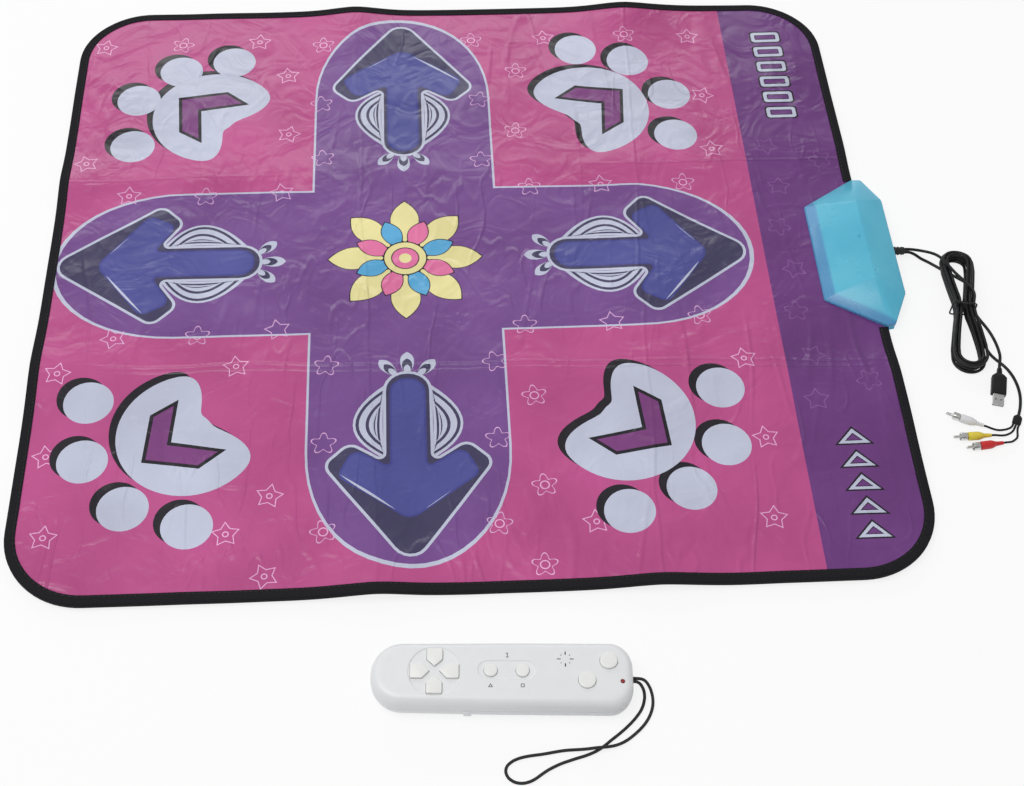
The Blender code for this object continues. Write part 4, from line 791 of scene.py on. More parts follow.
def stamp(shape, x, y, degrees, colour):
    outer, inner = shape
    paint.append((turned(outer, x, y, degrees), turned(inner, x, y, degrees), colour))


def blocked(x, y):
    paws = any(math.hypot(x - ZONE_X - sx * 250, y - ZONE_Y - sy * 246) < 118 for sx, sy in PAWS.values())
    arms = min(abs(x - ZONE_X), abs(y - ZONE_Y)) < 62
    return paws or arms or x > 325 or abs(x) > 440 or abs(y) > 402


motifs = []
for row in range(-8, 9):
    for column in range(-8, 9):
        x = column * 92 + 46 * (row % 2) - 20 + 12 * noise.noise(Vector((row, column, 0.5)))
        y = row * 51 + 5 + 12 * noise.noise(Vector((row, column, 5.5)))
        if not blocked(x, y):
            lean = 34 * noise.noise(Vector((row * 0.7, column * 0.9, 9.5)))
            motifs.append((x, y, lean, (row + column) % 2))
SHAPES = ((pointed(15, 8.2), pointed(13.0, 7.1)), (starry(14, 0.22), starry(12.6, 0.225)))
CENTRES = ((disc(0, 0, 3.4, 16), disc(0, 0, 2.2, 16)), (disc(0, 0, 5.2, 20), disc(0, 0, 3.9, 20)))
STRIP_SPOTS = (
    (368, -208), (428, -186), (374, -148), (366, -86), (374, -24), (366, 40), (376, 104), (432, 146),
    (370, 168),
)
ON_PINK = flat_colour(232, 176, 214)
ON_STRIP = flat_colour(134, 88, 150)
ON_CROSS = flat_colour(218, 172, 214)
for x, y, degrees, kind in motifs:
    stamp(SHAPES[kind], x, y, degrees, ON_PINK)
    stamp(CENTRES[kind], x, y, degrees, ON_PINK)
for k, (x, y) in enumerate(STRIP_SPOTS):
    stamp(SHAPES[k % 2], x, y, 23 * k, ON_STRIP)
fill(cross_outline(5.0), PALE)
fill(cross_outline(0.0), CROSS)
for x, y, degrees, kind in motifs:
    if min(abs(x - ZONE_X), abs(y - ZONE_Y)) < 112:
        stamp(SHAPES[kind], x, y, degrees, ON_CROSS)
print("motifs", len(motifs))

# %% [markdown]
# ## Paw zones and arrows
# Each paw is drawn with a dark shadow set off up and to the left, then the pale pad, four toes, and an
# angle bracket whose corner points to the mat's corner. Each arrow stands on leaf-shaped ornaments and
# has a pale rim, a dark body, a smaller blue arrow set low in the head, and two thin highlights.

# %% Paws
TOES = {
    "pad_corner_nw": ((-274, 333), (-338, 317), (-386, 267), (-387, 189)),
    "pad_corner_ne": ((153, 344), (217, 321), (263, 261), (263, 190)),
    "pad_corner_sw": ((-399, -186), (-398, -259), (-352, -317), (-287, -340)),
    "pad_corner_se": ((267, -189), (264, -262), (221, -315), (155, -340)),
}
BRACKET = [(38.3, 36.5), (33.9, -22.0), (5.8, -41.4), (9.6, 12.7), (-47.4, 23.6), (-20.5, 46.0)]
for name, (sx, sy) in PAWS.items():
    toes = [disc(x, y, 26, 48) for x, y in TOES[name]]
    for ring in (*toes, zones[name]):
        fill(turned(ring, -7.5, 6.0), INK)
    for ring in (*toes, zones[name]):
        fill(ring, PALE)
    bracket = [(ZONE_X + sx * (PAW_X + x), ZONE_Y + sy * (PAW_Y + y)) for x, y in BRACKET]
    twice_area = sum(a[0] * b[1] - b[0] * a[1] for a, b in zip(bracket, bracket[1:] + bracket[:1]))
    if twice_area < 0:
        bracket.reverse()
    fill(bracket, INK)
    fill(moved_in(bracket, 4.0), VIOLET)

# %% Arrows
INNER = fillet([
    (0.0, -46, 17), (-74, -101, 10), (-57, -134, 11), (-19, -110, 4), (-19, -223, 18),
    (19, -223, 18), (19, -110, 4), (57, -134, 11), (74, -101, 10),
])
SIDE_LEAVES = [
    (leaf((22, -118), (92, -160), (30, -150), (24, -214)), PALE),
    (leaf((25, -124), (84, -161), (34, -152), (26, -207)), NAVY),
    (leaf((26, -128), (76, -161), (38, -153), (27, -202)), PALE),
    (leaf((26, -134), (62, -160), (42, -156), (27, -194)), NAVY),
    (leaf((26, -138), (55, -160), (45, -157), (27, -190)), PALE),
]
DROP = leaf((0, 0), (15, -26), (-15, -26), (0, -34), 10)[::-1]
for name, (x, y, turn) in ARROWS.items():
    for side in (1, -1):
        for ring, colour in SIDE_LEAVES:
            fill(turned(ring, x, y, turn, 1.0, side), colour)
    for lean, tall in ((-42, 0.9), (42, 0.9), (0, 1.0)):
        place = turned([(math.sin(math.radians(lean)) * 14, -224)], x, y, turn)[0]
        for size, colour in ((1.0, PALE), (0.74, NAVY), (0.5, PALE)):
            fill(turned(DROP, *place, turn + lean, size * tall), colour)
    fill(zones[name], PALE)
    fill(turned(moved_in(ARROW, 3.2), x, y, turn), NAVY)
    inner = turned(INNER, x, y, turn)
    fill(inner, DEEP_BLUE)
    fill(moved_in(inner, 2.4), BLUE)
    for near, far in (((14, -59), (71, -104)), ((-16, -60), (-43, -81))):
        middle = ((near[0] + far[0]) / 2, (near[1] + far[1]) / 2)
        shine = leaf(near, (middle[0] + 2.6, middle[1] + 3.2), (middle[0] - 0.9, middle[1] - 1.2), far, 8)
        fill(turned(shine, x, y, turn, 1.0, -1 if name == "pad_left" else 1), PALE)
print("layers of paint so far", len(paint))

# %% [markdown]
# ## Middle and side strip
# The middle of the cross carries a flower-like rosette in cream, rose and sky blue. The side strip marks
# its two zones with plain signs: a row of open boxes on one, and a row of arrowheads on the other.

# %% Rosette and signs
PETAL = leaf((0, 22), (34, 60), (-34, 60), (0, 88), 14)
SMALL_PETAL = leaf((0, 16), (24, 40), (-24, 40), (0, 60), 12)
for k in range(8):
    for ring, size, colour in ((PETAL, 1.0, INK), (PETAL, 0.95, CREAM)):
        grown = [(px * size, 55 + (py - 55) * size) for px, py in ring]
        fill(turned(grown, ZONE_X, ZONE_Y, 45 * k), colour)
for k in range(8):
    for size, colour in ((1.0, INK), (0.92, ROSE if k % 2 else SKY)):
        grown = [(px * size, 38 + (py - 38) * size) for px, py in SMALL_PETAL]
        fill(turned(grown, ZONE_X, ZONE_Y, 22.5 + 45 * k), colour)
for r, colour in ((25, INK), (23.5, CREAM), (16, INK), (14.8, ROSE), (7, CREAM)):
    fill(disc(ZONE_X, ZONE_Y, r), colour)
for k in range(6):
    y = 226 + 27.2 * k
    for shrink, colour in ((0, INK), (2.0, PALE), (6.5, INK), (7.7, STRIP)):
        frame_box = (378 + shrink, y - 11 + shrink, 418 - shrink, y + 11 - shrink)
        fill(round_box(*frame_box, max(0.8, 5 - shrink / 2)), colour)
for k in range(5):
    y = -371 + 28.5 * k
    head = [(377, y - 10), (419, y - 10), (398, y + 13)]
    for shrink, colour in ((0, INK), (2.0, PALE), (5.6, INK), (6.6, STRIP)):
        fill(moved_in(head, shrink), colour)
print("layers of paint", len(paint))

# %% [markdown]
# ## Cutting the sheet along the print
# Blender can triangulate a field of points so that chosen lines become edges. All outlines go in as
# lines, and the grid of the lift goes in as points. Every small triangle then lies on one side
# of every outline, so it has one colour. A triangle belongs to a shape if its middle is inside the outline.


# %% Triangles and colours
def inside(points, ring):
    ring = np.asarray(ring)
    low, high = ring.min(0), ring.max(0)
    near = np.flatnonzero(((points >= low) & (points <= high)).all(1))
    x, y = points[near, 0], points[near, 1]
    hit = np.zeros(len(near), bool)
    for (x0, y0), (x1, y1) in zip(ring, np.roll(ring, -1, 0)):
        crosses = (y0 > y) != (y1 > y)
        if crosses.any():
            hit ^= crosses & (x < (x1 - x0) * (y - y0) / (y1 - y0 if y1 != y0 else 1e-12) + x0)
    found = np.zeros(len(points), bool)
    found[near[hit]] = True
    return found


def cut_field(rings):
    points, edges = [], []
    for corners in rings:
        ring = []
        for a, b in zip(corners, [*corners[1:], corners[0]]):
            parts = max(1, math.ceil(math.dist(a, b) / 7))
            run_x, run_y = b[0] - a[0], b[1] - a[1]
            ring += [(a[0] + run_x * k / parts, a[1] + run_y * k / parts) for k in range(parts)]
        start = len(points)
        points += [Vector(p) for p in ring]
        edges += [(start + i, start + (i + 1) % len(ring)) for i in range(len(ring))]
    for i in range(X_STEPS + 1):
        points += [Vector((i * GRID - FIELD_X, j * GRID - FIELD_Y)) for j in range(Y_STEPS + 1)]
    out = delaunay_2d_cdt(points, edges, [], 0, 0.002)
    flat = np.array([tuple(v) for v in out[0]])
    faces = np.array([f for f in out[2] if len(f) == 3])
    middles = flat[faces].mean(1)
    a, b, c = (flat[faces[:, k]] for k in range(3))
    area = (b[:, 0] - a[:, 0]) * (c[:, 1] - a[:, 1]) - (c[:, 0] - a[:, 0]) * (b[:, 1] - a[:, 1])
    faces[area < 0] = faces[area < 0][:, ::-1]
    return flat, faces, middles


def mat_ring(amount, n=12):
    x, y = MAT_X - amount, MAT_Y - amount
    r = CORNER - amount
    out = []
    for cx, cy, a0 in ((x - r, y - r, 0), (r - x, y - r, 90), (r - x, r - y, 180), (x - r, r - y, 270)):
        for i in range(n + 1):
            a = math.radians(a0 + 90 * i / n)
            out.append((cx + r * math.cos(a), cy + r * math.sin(a)))
    return out


BOX_RING = [
    (400, -72), (463, -112), (473, -110), (490, -72), (490, 68), (473, 106), (463, 108), (400, 68),
]


def notched(ring, notch):
    edge = max(x for x, y in ring)
    ways = []
    for a, b in zip(notch, notch[1:] + notch[:1]):
        if (a[0] - edge) * (b[0] - edge) < 0:
            ways.append((edge, a[1] + (edge - a[0]) / (b[0] - a[0]) * (b[1] - a[1])))
    ways.sort(key=lambda p: p[1])
    lower = sorted((p for p in notch if p[0] < edge and p[1] < BOX_Y), reverse=True)
    upper = sorted(p for p in notch if p[0] < edge and p[1] > BOX_Y)
    return ring + [ways[0], *lower, *upper, ways[-1]]


# %% [markdown]
# ## Giving the flat field its thickness
# The triangles that belong to a layer are laid twice, at its upper and lower face, both raised by the
# lift, and a wall joins them round the outside. That makes each layer a thin closed body, like the real
# sheet.


# %% Sheet builder
def sheet_piece(name, flat, faces, z_low, z_high, finish, colours=None, low_at=None):
    used, faces = np.unique(faces, return_inverse=True)
    faces = faces.reshape(-1, 3)
    spots = flat[used]
    n = len(spots)
    rise = lift(spots[:, 0], spots[:, 1])
    low = z_low if low_at is None else low_at(spots)
    upper = np.column_stack([spots, rise + z_high])
    lower = np.column_stack([spots, rise + low])
    count = {}
    for f in faces:
        for a, b in ((f[0], f[1]), (f[1], f[2]), (f[2], f[0])):
            count[(a, b)] = True
    rim = [(a, b) for a, b in count if (b, a) not in count]
    tris = [tuple(f) for f in faces] + [(c + n, b + n, a + n) for a, b, c in faces]
    walls = [(b, a, a + n, b + n) for a, b in rim]
    mesh = bpy.data.meshes.new(name)
    corners = (np.vstack([upper, lower]) * MM).tolist()
    mesh.from_pydata(corners, [], [tuple(map(int, f)) for f in tris + walls])
    if colours is not None:
        layer = mesh.attributes.new("print", "FLOAT_COLOR", "CORNER")
        per_face = np.vstack([colours, colours, np.tile(colours.mean(0), (len(walls), 1))])
        corners = np.repeat(per_face, [3] * (2 * len(faces)) + [4] * len(walls), axis=0)
        layer.data.foreach_set("color", np.column_stack([corners, np.ones(len(corners))]).ravel())
    mesh.polygons.foreach_set("use_smooth", [True] * len(mesh.polygons))
    mesh.materials.append(finish)
    mesh.validate()
    mesh.set_sharp_from_angle(angle=math.radians(40))
    return added(name, mesh)


# %% [markdown]
# ## Printed vinyl
# The top is printed on the back of a clear glossy sheet. Its colour is read from the colour stored with
# the triangles. Its life comes from the surface, and a fold, a crease and a crumple are three different
# things. The folds from the box are straight, so they are narrow ridges at set places. Creases are the
# lines where a stretched noise crosses its middle value, which makes them long and thin. Crumples are
# small sharp cells, and they only show in patches, where a hand once held the mat.


# %% Folds, creases and crumples
def bent(tree, place, scale, reach):
    # Shifts each place a little by a noise
    sway = cloud(tree, place, scale, 3.0, "Color")
    return vectors(tree, "ADD", place, vectors(tree, "MULTIPLY", sway, (reach, reach, 0.0)))


def patches(tree, place, scale, start, stop, shift):
    spot = vectors(tree, "ADD", place, (shift, -shift, shift))
    return ranged(tree, cloud(tree, spot, scale, 1.5), start, stop, kind="SMOOTHSTEP")


def line_where(tree, value, middle, width):
    # One where the value is at its middle, and nothing beyond the width
    off = maths(tree, "ABSOLUTE", maths(tree, "SUBTRACT", value, middle))
    return ranged(tree, off, 0.0, width, 1.0, 0.0, "SMOOTHSTEP")


def creases(tree, place, turn, stretch, scale, width):
    sockets = {"Vector": place, "Rotation": (0, 0, math.radians(turn)), "Scale": (1.0, stretch, 1.0)}
    lay = node(tree, "ShaderNodeMapping", sockets).outputs[0]
    return line_where(tree, cloud(tree, lay, scale, 2.0), 0.5, width)


def straight_fold(tree, place, across, offset, width):
    return line_where(tree, vectors(tree, "DOT_PRODUCT", place, across, "Value"), offset, width)


# %% Vinyl material
vinyl, tree, surface = new_finish("printed_vinyl", 0.3)
set_shader(vinyl, Specular_IOR_Level=0.4)
place = coordinates(tree)
ink = node(tree, "ShaderNodeAttribute", attribute_name="print").outputs["Color"]
cloudy = cloud(tree, place, 9.0, 5.0)
fade = ranged(tree, cloudy, 0.3, 0.7, 0.88, 1.1)
tinted = node(tree, "ShaderNodeHueSaturation", {"Value": fade, "Color": ink}).outputs[0]
worn = ranged(tree, cloudy, 0.3, 0.7, 0.24, 0.38)
wide = cloud(tree, place, 7.0, 3.0)
soft = cloud(tree, place, 19.0, 2.5, Distortion=1.5)
height = plus(tree, times(tree, wide, 2.4), times(tree, soft, 1.9))
for turn, stretch, scale, width, strong, spot in (
    (4, 0.16, 9.0, 0.02, 0.8, 3.1), (86, 0.2, 8.0, 0.02, 0.7, 7.7), (38, 0.4, 16.0, 0.03, 0.5, 1.3),
    (-47, 0.35, 18.0, 0.03, 0.5, 5.9),
):
    lines = creases(tree, place, turn, stretch, scale, width)
    shown = times(tree, lines, patches(tree, place, 5.0, 0.46, 0.66, spot))
    height = plus(tree, height, times(tree, shown, strong))
wavy = bent(tree, place, 8.0, 0.018)
for across, offset, width, spot in (
    ((1.0, 0.03, 0.0), -0.112, 0.0035, 2.2), ((1.0, -0.05, 0.0), 0.2, 0.0035, 4.4),
    ((-0.015, 1.0, 0.0), 0.139, 0.003, 6.6), ((0.02, 1.0, 0.0), -0.146, 0.003, 8.8),
    ((0.02, 1.0, 0.0), -0.154, 0.002, 0.9),
):
    ridge = straight_fold(tree, wavy, across, offset + 0.009, width)
    shown = times(tree, ridge, patches(tree, place, 3.0, 0.38, 0.6, spot))
    height = plus(tree, height, times(tree, shown, 0.55))
crumpled = bent(tree, place, 14.0, 0.07)
cells, small = (
    node(tree, "ShaderNodeTexVoronoi", {"Vector": crumpled, "Scale": scale}, feature="F1").outputs["Distance"]
    for scale in (30.0, 75.0)
)
crush = plus(tree, cells, times(tree, small, 0.4))
height = plus(tree, height, times(tree, crush, patches(tree, place, 5.5, 0.52, 0.68, 0.0)))
wire(tree, surface, tinted, worn, height, 0.0023, 0.62)
film_finish = grained("carbon_film", (0.46, 0.47, 0.47), 0.4, 0.001, 0.00002)
foam_finish = grained("foam_sheet", (0.72, 0.72, 0.68), 0.85, 0.0016, 0.0002)
under_finish = grained("backing_cloth", (0.03, 0.03, 0.034), 0.7, 0.0009, 0.00012)
print("finish", vinyl.name)

# %% Top sheet and its ten zones
top_outline = notched(mat_ring(1.2), moved_in(BOX_RING, 12))
holes = {name: moved_in(ring, -0.06) for name, ring in zones.items()}
rings = [top_outline, *zones.values(), *holes.values()]
for outer, inner, _ in paint:
    rings += [outer] if inner is None else [outer, inner]
flat, faces, middles = cut_field(rings)
colours = np.tile(np.array(PINK), (len(faces), 1))
for outer, inner, colour in paint:
    found = inside(middles, outer)
    if inner is not None:
        found &= ~inside(middles, inner)
    colours[found] = colour
left = inside(middles, top_outline)
pads = {}
TOP_Z, PAD_LOW, TOP_LOW = 6.0, 5.1, 4.5
for name, ring in zones.items():
    own = inside(middles, ring)
    pad = sheet_piece(name + "_print", flat, faces[own], PAD_LOW, TOP_Z, vinyl, colours[own])
    pads[name] = belongs(pad, name, name)
    left &= ~inside(middles, holes[name])
top = sheet_piece("printed_top", flat, faces[left], TOP_LOW, TOP_Z, vinyl, colours[left])
belongs(top, "mat", "top_sheet", slot="top_sheet")
print("triangles in the print", len(faces))

# %% [markdown]
# ## The layers underneath
# Under the print lie two films printed with contact tracks, and between them a foam sheet with an opening
# under each zone. Stepping on a zone presses the upper film through the opening. They can't be seen, but
# they are built like the top, from the same field, so that nothing pokes through when the mat lifts.

# %% Films, foam and bottom
inner_ring = notched(mat_ring(13), moved_in(BOX_RING, 12))
foam_holes = [moved_in(ring, 9) for ring in zones.values()]
flat, faces, middles = cut_field([inner_ring, *foam_holes])
whole = inside(middles, inner_ring)
pierced = whole.copy()
for ring in foam_holes:
    pierced &= ~inside(middles, ring)
layers = {
    "lower_film": (whole, 1.7, 2.0, film_finish, "lower_contact_film", "contact_film"),
    "foam_layer": (pierced, 2.3, 3.6, foam_finish, "spacer_foam", "foam"),
    "upper_film": (whole, 3.9, 4.2, film_finish, "upper_contact_film", "contact_film"),
}
for name, (own, z_low, z_high, finish, stands_for, slot) in layers.items():
    layer = sheet_piece(name, flat, faces[own], z_low, z_high, finish)
    belongs(layer, "mat", stands_for, slot=slot)

rim_ring = notched(mat_ring(1.2), moved_in(BOX_RING, -0.1))
low_ring = notched(mat_ring(12.5), moved_in(BOX_RING, -1.1))
flat, faces, middles = cut_field([rim_ring, low_ring, notched(mat_ring(13.4), moved_in(BOX_RING, -2.1))])
own = inside(middles, rim_ring)


def underside(spots):
    return np.where(inside(spots, mat_ring(12.9)), 0.0, 0.9)


bottom = sheet_piece("backing_sheet", flat, faces[own], 0.9, 1.4, under_finish, None, underside)
belongs(bottom, "mat", "bottom_sheet", slot="bottom_sheet")

# %% [markdown]
# ## Sewn edge tape
# The edge is finished with black woven tape, folded over all layers and sewn down. It is swept along the
# outline as a folded strip with round shoulders, and follows the lift like everything else. It stops on
# each side of the receiver box. The weave is a fine twill, and a line of stitches runs near its inner
# edge.

# %% Tape material
tape, tree, surface = new_finish("woven_tape", 0.82)
place = coordinates(tree)
warp, weft = (
    node(tree, "ShaderNodeTexWave", {"Vector": place, "Scale": 210.0, "Distortion": 0.3},
         bands_direction=way).outputs["Fac"]
    for way in "XY"
)
height = plus(tree, maths(tree, "MAXIMUM", warp, weft), cloud(tree, place, 900.0, 3.0))
tones = blend_tones(tree, height, (0.003, 0.003, 0.0035), (0.014, 0.013, 0.016), 0.5, 1.6)
wire(tree, surface, tones, None, height, 0.00025, 0.7)
set_shader(tape, Specular_IOR_Level=0.15)

# %% Tape sweep
SECTION = [
    (0.0, 2.0), (0.0, 5.2), (0.3, 6.3), (1.1, 6.9), (2.4, 7.1), (10.3, 7.0), (11.0, 6.7), (11.0, 6.3),
    (0.9, 6.3), (0.9, 0.6), (11.0, 0.6), (11.0, 0.25), (10.3, 0.1), (1.2, 0.1), (0.3, 0.7),
]


def edge_line(amount, step=6.0):
    x = MAT_X - amount
    ring = mat_ring(amount, 18)
    ring = [(x, 110.8 - 2.2), *ring, (x, -110.8 - 1.2)]
    out = []
    for a, b in zip(ring, ring[1:]):
        parts = max(1, round(math.dist(a, b) / step))
        out += [(a[0] + (b[0] - a[0]) * k / parts, a[1] + (b[1] - a[1]) * k / parts) for k in range(parts)]
    return out + [ring[-1]]


def faces_outward():
    # In edit mode: every face is turned outward, and edit mode ends
    bpy.ops.mesh.select_all(action="SELECT")
    bpy.ops.mesh.normals_make_consistent(inside=False)
    bpy.ops.object.mode_set(mode="OBJECT")


def skinned(name, points, skin, finish, smooth):
    mesh = bpy.data.meshes.new(name)
    mesh.from_pydata(points, [], skin)
    mesh.materials.append(finish)
    piece = added(name, mesh)
    pick(piece)
    bpy.ops.object.mode_set(mode="EDIT")
    faces_outward()
    bpy.ops.object.shade_smooth_by_angle(angle=math.radians(smooth))
    return piece


guide = edge_line(0.0)
rows = []
for i, (x, y) in enumerate(guide):
    before, after = guide[max(0, i - 1)], guide[min(len(guide) - 1, i + 1)]
    run = Vector((after[0] - before[0], after[1] - before[1])).normalized()
    inward = Vector((-run.y, run.x))
    row = []
    for away, z in SECTION:
        px, py = x + inward.x * away, y + inward.y * away
        row.append((px * MM, py * MM, (z + float(lift(px, py))) * MM))
    rows.append(row)
size = len(SECTION)
points = [p for row in rows for p in row]
skin = []
for i in range(len(rows) - 1):
    for k in range(size):
        m = (k + 1) % size
        skin.append((i * size + k, i * size + m, (i + 1) * size + m, (i + 1) * size + k))
skin.append(tuple(range(size))[::-1])
skin.append(tuple((len(rows) - 1) * size + k for k in range(size)))
edge_tape = skinned("edge_tape", points, skin, tape, 50)
belongs(edge_tape, "mat", "edge_binding", slot="binding")
print("tape rows", len(rows))

# %% Stitches
thread = grained("sewing_thread", (0.011, 0.011, 0.012), 0.5, 0.0005, 0.00004)
seam = edge_line(8.8, 5.0)
points, skin = [], []
for (x, y), (x2, y2) in zip(seam, seam[1:]):
    run = Vector((x2 - x, y2 - y)).normalized()
    side = Vector((-run.y, run.x))
    first = len(points)
    for step, r in ((-1.7, 0.12), (-1.1, 0.32), (1.1, 0.32), (1.7, 0.12)):
        for k in range(6):
            a = math.pi / 3 * k
            px = x + run.x * step + side.x * r * math.cos(a)
            py = y + run.y * step + side.y * r * math.cos(a)
            points.append((px * MM, py * MM, (7.08 + r * math.sin(a) + float(lift(px, py))) * MM))
    for row in range(3):
        for k in range(6):
            a, b = first + 6 * row + k, first + 6 * row + (k + 1) % 6
            skin.append((a, b, b + 6, a + 6))
    skin.append(tuple(first + k for k in range(6))[::-1])
    skin.append(tuple(first + 18 + k for k in range(6)))
stitches = skinned("edge_stitches", points, skin, thread, 70)
belongs(stitches, "mat", slot="binding")
print("stitches", len(seam) - 1)

# %% Zone outlines as arrays
for name, pad in pads.items():
    ring = np.array(zones[name])

# %% [markdown]
# ## Working like a modeller, in code
# The hard parts are modelled as one would by hand: add a primitive, go into edit mode, extrude, inset and
# bevel, then apply a modifier. By hand one clicks the faces to work on. In code they are picked by their
# place or by how sharp an edge is, so a few small helpers do the picking.


# %% Modelling helpers
def fresh(name, add, **sizes):
    bpy.ops.object.select_all(action="DESELECT")
    add(**sizes)
    piece = bpy.context.object
    piece.name = name
    bpy.ops.object.transform_apply(location=True, rotation=True, scale=True)
    return piece


def round_edges(piece, width, segments=3, choose=None, sharper=28):
    pick(piece)
    bpy.ops.object.mode_set(mode="EDIT")
    bpy.ops.mesh.select_mode(type="EDGE")
    bpy.ops.mesh.select_all(action="DESELECT")
    shape = bmesh.from_edit_mesh(piece.data)
    for edge in shape.edges:
        sharp = len(edge.link_faces) == 2 and edge.calc_face_angle(0.0) > math.radians(sharper)
        if sharp and (choose is None or choose(*(v.co / MM for v in edge.verts))):
            edge.select_set(True)
    bmesh.update_edit_mesh(piece.data)
    bpy.ops.mesh.bevel(offset=width * MM, segments=segments, profile=0.5, affect="EDGES", clamp_overlap=True)
    bpy.ops.object.mode_set(mode="OBJECT")


def pick_faces(piece, choose):
    # Leaves the piece in edit mode with the chosen faces selected
    pick(piece)
    bpy.ops.object.mode_set(mode="EDIT")
    bpy.ops.mesh.select_mode(type="FACE")
    bpy.ops.mesh.select_all(action="DESELECT")
    shape = bmesh.from_edit_mesh(piece.data)
    for face in shape.faces:
        if choose(face.calc_center_median() / MM, face.normal):
            face.select_set(True)
    bmesh.update_edit_mesh(piece.data)


def carve(piece, cutter, operation="DIFFERENCE"):
    pick(piece)
    step = piece.modifiers.new("carve", "BOOLEAN")
    step.object = cutter
    step.operation = operation
    step.solver = "EXACT"
    bpy.ops.object.modifier_apply(modifier="carve")
    bpy.data.objects.remove(cutter)


def settle(piece, finish, body, slot, *stands_for, smooth=35):
    piece.data.materials.clear()
    piece.data.materials.append(finish)
    for face in piece.data.polygons:
        face.material_index = 0
    pick(piece)
    bpy.ops.object.shade_smooth_by_angle(angle=math.radians(smooth))
    return belongs(piece, body, *stands_for, slot=slot)


def in_mm(place):
    return tuple(v * MM for v in place)


def rod(name, sides, radius, depth, place, lean=0.0):
    return fresh(name, bpy.ops.mesh.primitive_cylinder_add, vertices=sides, radius=radius * MM,
                 depth=depth * MM, location=in_mm(place), rotation=(0, lean, 0))


def brick(name, place, size):
    return fresh(name, bpy.ops.mesh.primitive_cube_add, size=MM, location=in_mm(place), scale=size)


print("helpers ready")

# %% [markdown]
# ## Clear blue plastic
# The receiver's box is moulded in blue plastic that lets light through but blurs it, so the floor shows as
# a paler blue outside. Transmission with some roughness does that. The darker, purplish blue under its inner
# edge and along one lower facet, where the mat lies behind, is painted shade: near those edges a darker copy
# of the blue tones is mixed in. A faint cloudiness keeps large faces from looking like coloured air.

# %% Blue plastic
blue_shell, tree, surface = new_finish("clear_blue_plastic", 0.3)
place = coordinates(tree)
milky = cloud(tree, place, 16.0, 4.0)
tones = blend_tones(tree, milky, (0.14, 0.68, 0.92), (0.20, 0.78, 0.99))
# Painted shade: a darker copy of the blue tones, mixed in by two masks near the inner edge and a lower facet
painted_shade_tones = blend_tones(tree, milky, (0.10, 0.33, 0.70), (0.15, 0.40, 0.78))
painted_shade_edges = []
for across, reach, width in (((-1.0, 0.0, 0.0), -411.5, 2.0), ((-0.536, -0.844, 0.0), -162.6, 3.0)):
    out = vectors(tree, "DOT_PRODUCT", place, across, "Value")
    painted_shade_edges.append(ranged(tree, out, (reach - width) * MM, (reach + width) * MM, kind="SMOOTHSTEP"))
painted_rim_shade = times(tree, maths(tree, "MAXIMUM", *painted_shade_edges), 0.75)
dull = ranged(tree, milky, 0.3, 0.7, 0.2, 0.34)
tones_and_painted_shade = mixed_by(tree, painted_rim_shade, tones, painted_shade_tones)
wire(tree, surface, tones_and_painted_shade, dull, cloud(tree, place, 60.0, 2.0), 0.0004, 0.25)
set_shader(blue_shell, Transmission_Weight=0.36, IOR=1.46, Specular_IOR_Level=0.5)
print("finish", blue_shell.name)

# %% [markdown]
# ## The receiver's shell
# The box is a wedge with cut corners: low towards the mat, with a ridge near its outer side. It could be
# pulled up from a flat outline step by step. It is quicker to set its twenty corners down and let Blender
# wrap them in their convex hull, because the real moulding has no hollows. A solidify step gives the
# wall, and the outer edges are bevelled after it, so that the wall stays even.


# %% Receiver shell
def wrapped(name, corners):
    hull = fresh(name, bpy.ops.mesh.primitive_circle_add, vertices=len(corners), radius=MM)
    for vertex, corner in zip(hull.data.vertices, corners):
        vertex.co = Vector(corner) * MM
    bpy.ops.object.mode_set(mode="EDIT")
    bpy.ops.mesh.select_all(action="SELECT")
    bpy.ops.mesh.delete(type="EDGE_FACE")
    bpy.ops.mesh.select_all(action="SELECT")
    bpy.ops.mesh.convex_hull()
    bpy.ops.mesh.dissolve_limited(angle_limit=0.01)
    bpy.ops.mesh.normals_make_consistent(inside=False)
    bpy.ops.object.mode_set(mode="OBJECT")
    return hull


RIM = (8, 10, 12, 17, 17, 12, 10, 8)


def box_corners(shrink, bottom):
    ring = moved_in(BOX_RING, shrink)
    corners = [(x, y, bottom) for x, y in ring]
    corners += [(x, y, z - shrink) for (x, y), z in zip(ring, RIM)]
    for side in (-1, 1):
        corners.append((413 + shrink * 0.6, BOX_Y + side * (66 - shrink), 15 - shrink))
        corners.append((455, BOX_Y + side * (58 - shrink), 30 - shrink))
    return corners


shell = wrapped("receiver_shell", box_corners(0.0, 6.3))
pick_faces(shell, lambda middle, normal: normal.z < -0.9)
bpy.ops.mesh.delete(type="FACE")
bpy.ops.object.mode_set(mode="OBJECT")
wall = shell.modifiers.new("wall", "SOLIDIFY")
wall.thickness = 2.2 * MM
wall.offset = -1
wall.use_even_offset = True
bpy.ops.object.modifier_apply(modifier="wall")
outer = {tuple(round(c, 2) for c in corner) for corner in box_corners(0.0, 6.3)}


def on_outside(a, b):
    ends = [tuple(round(c, 2) for c in p) for p in (a, b)]
    return all(e in outer for e in ends) and max(a.z, b.z) > 6.4


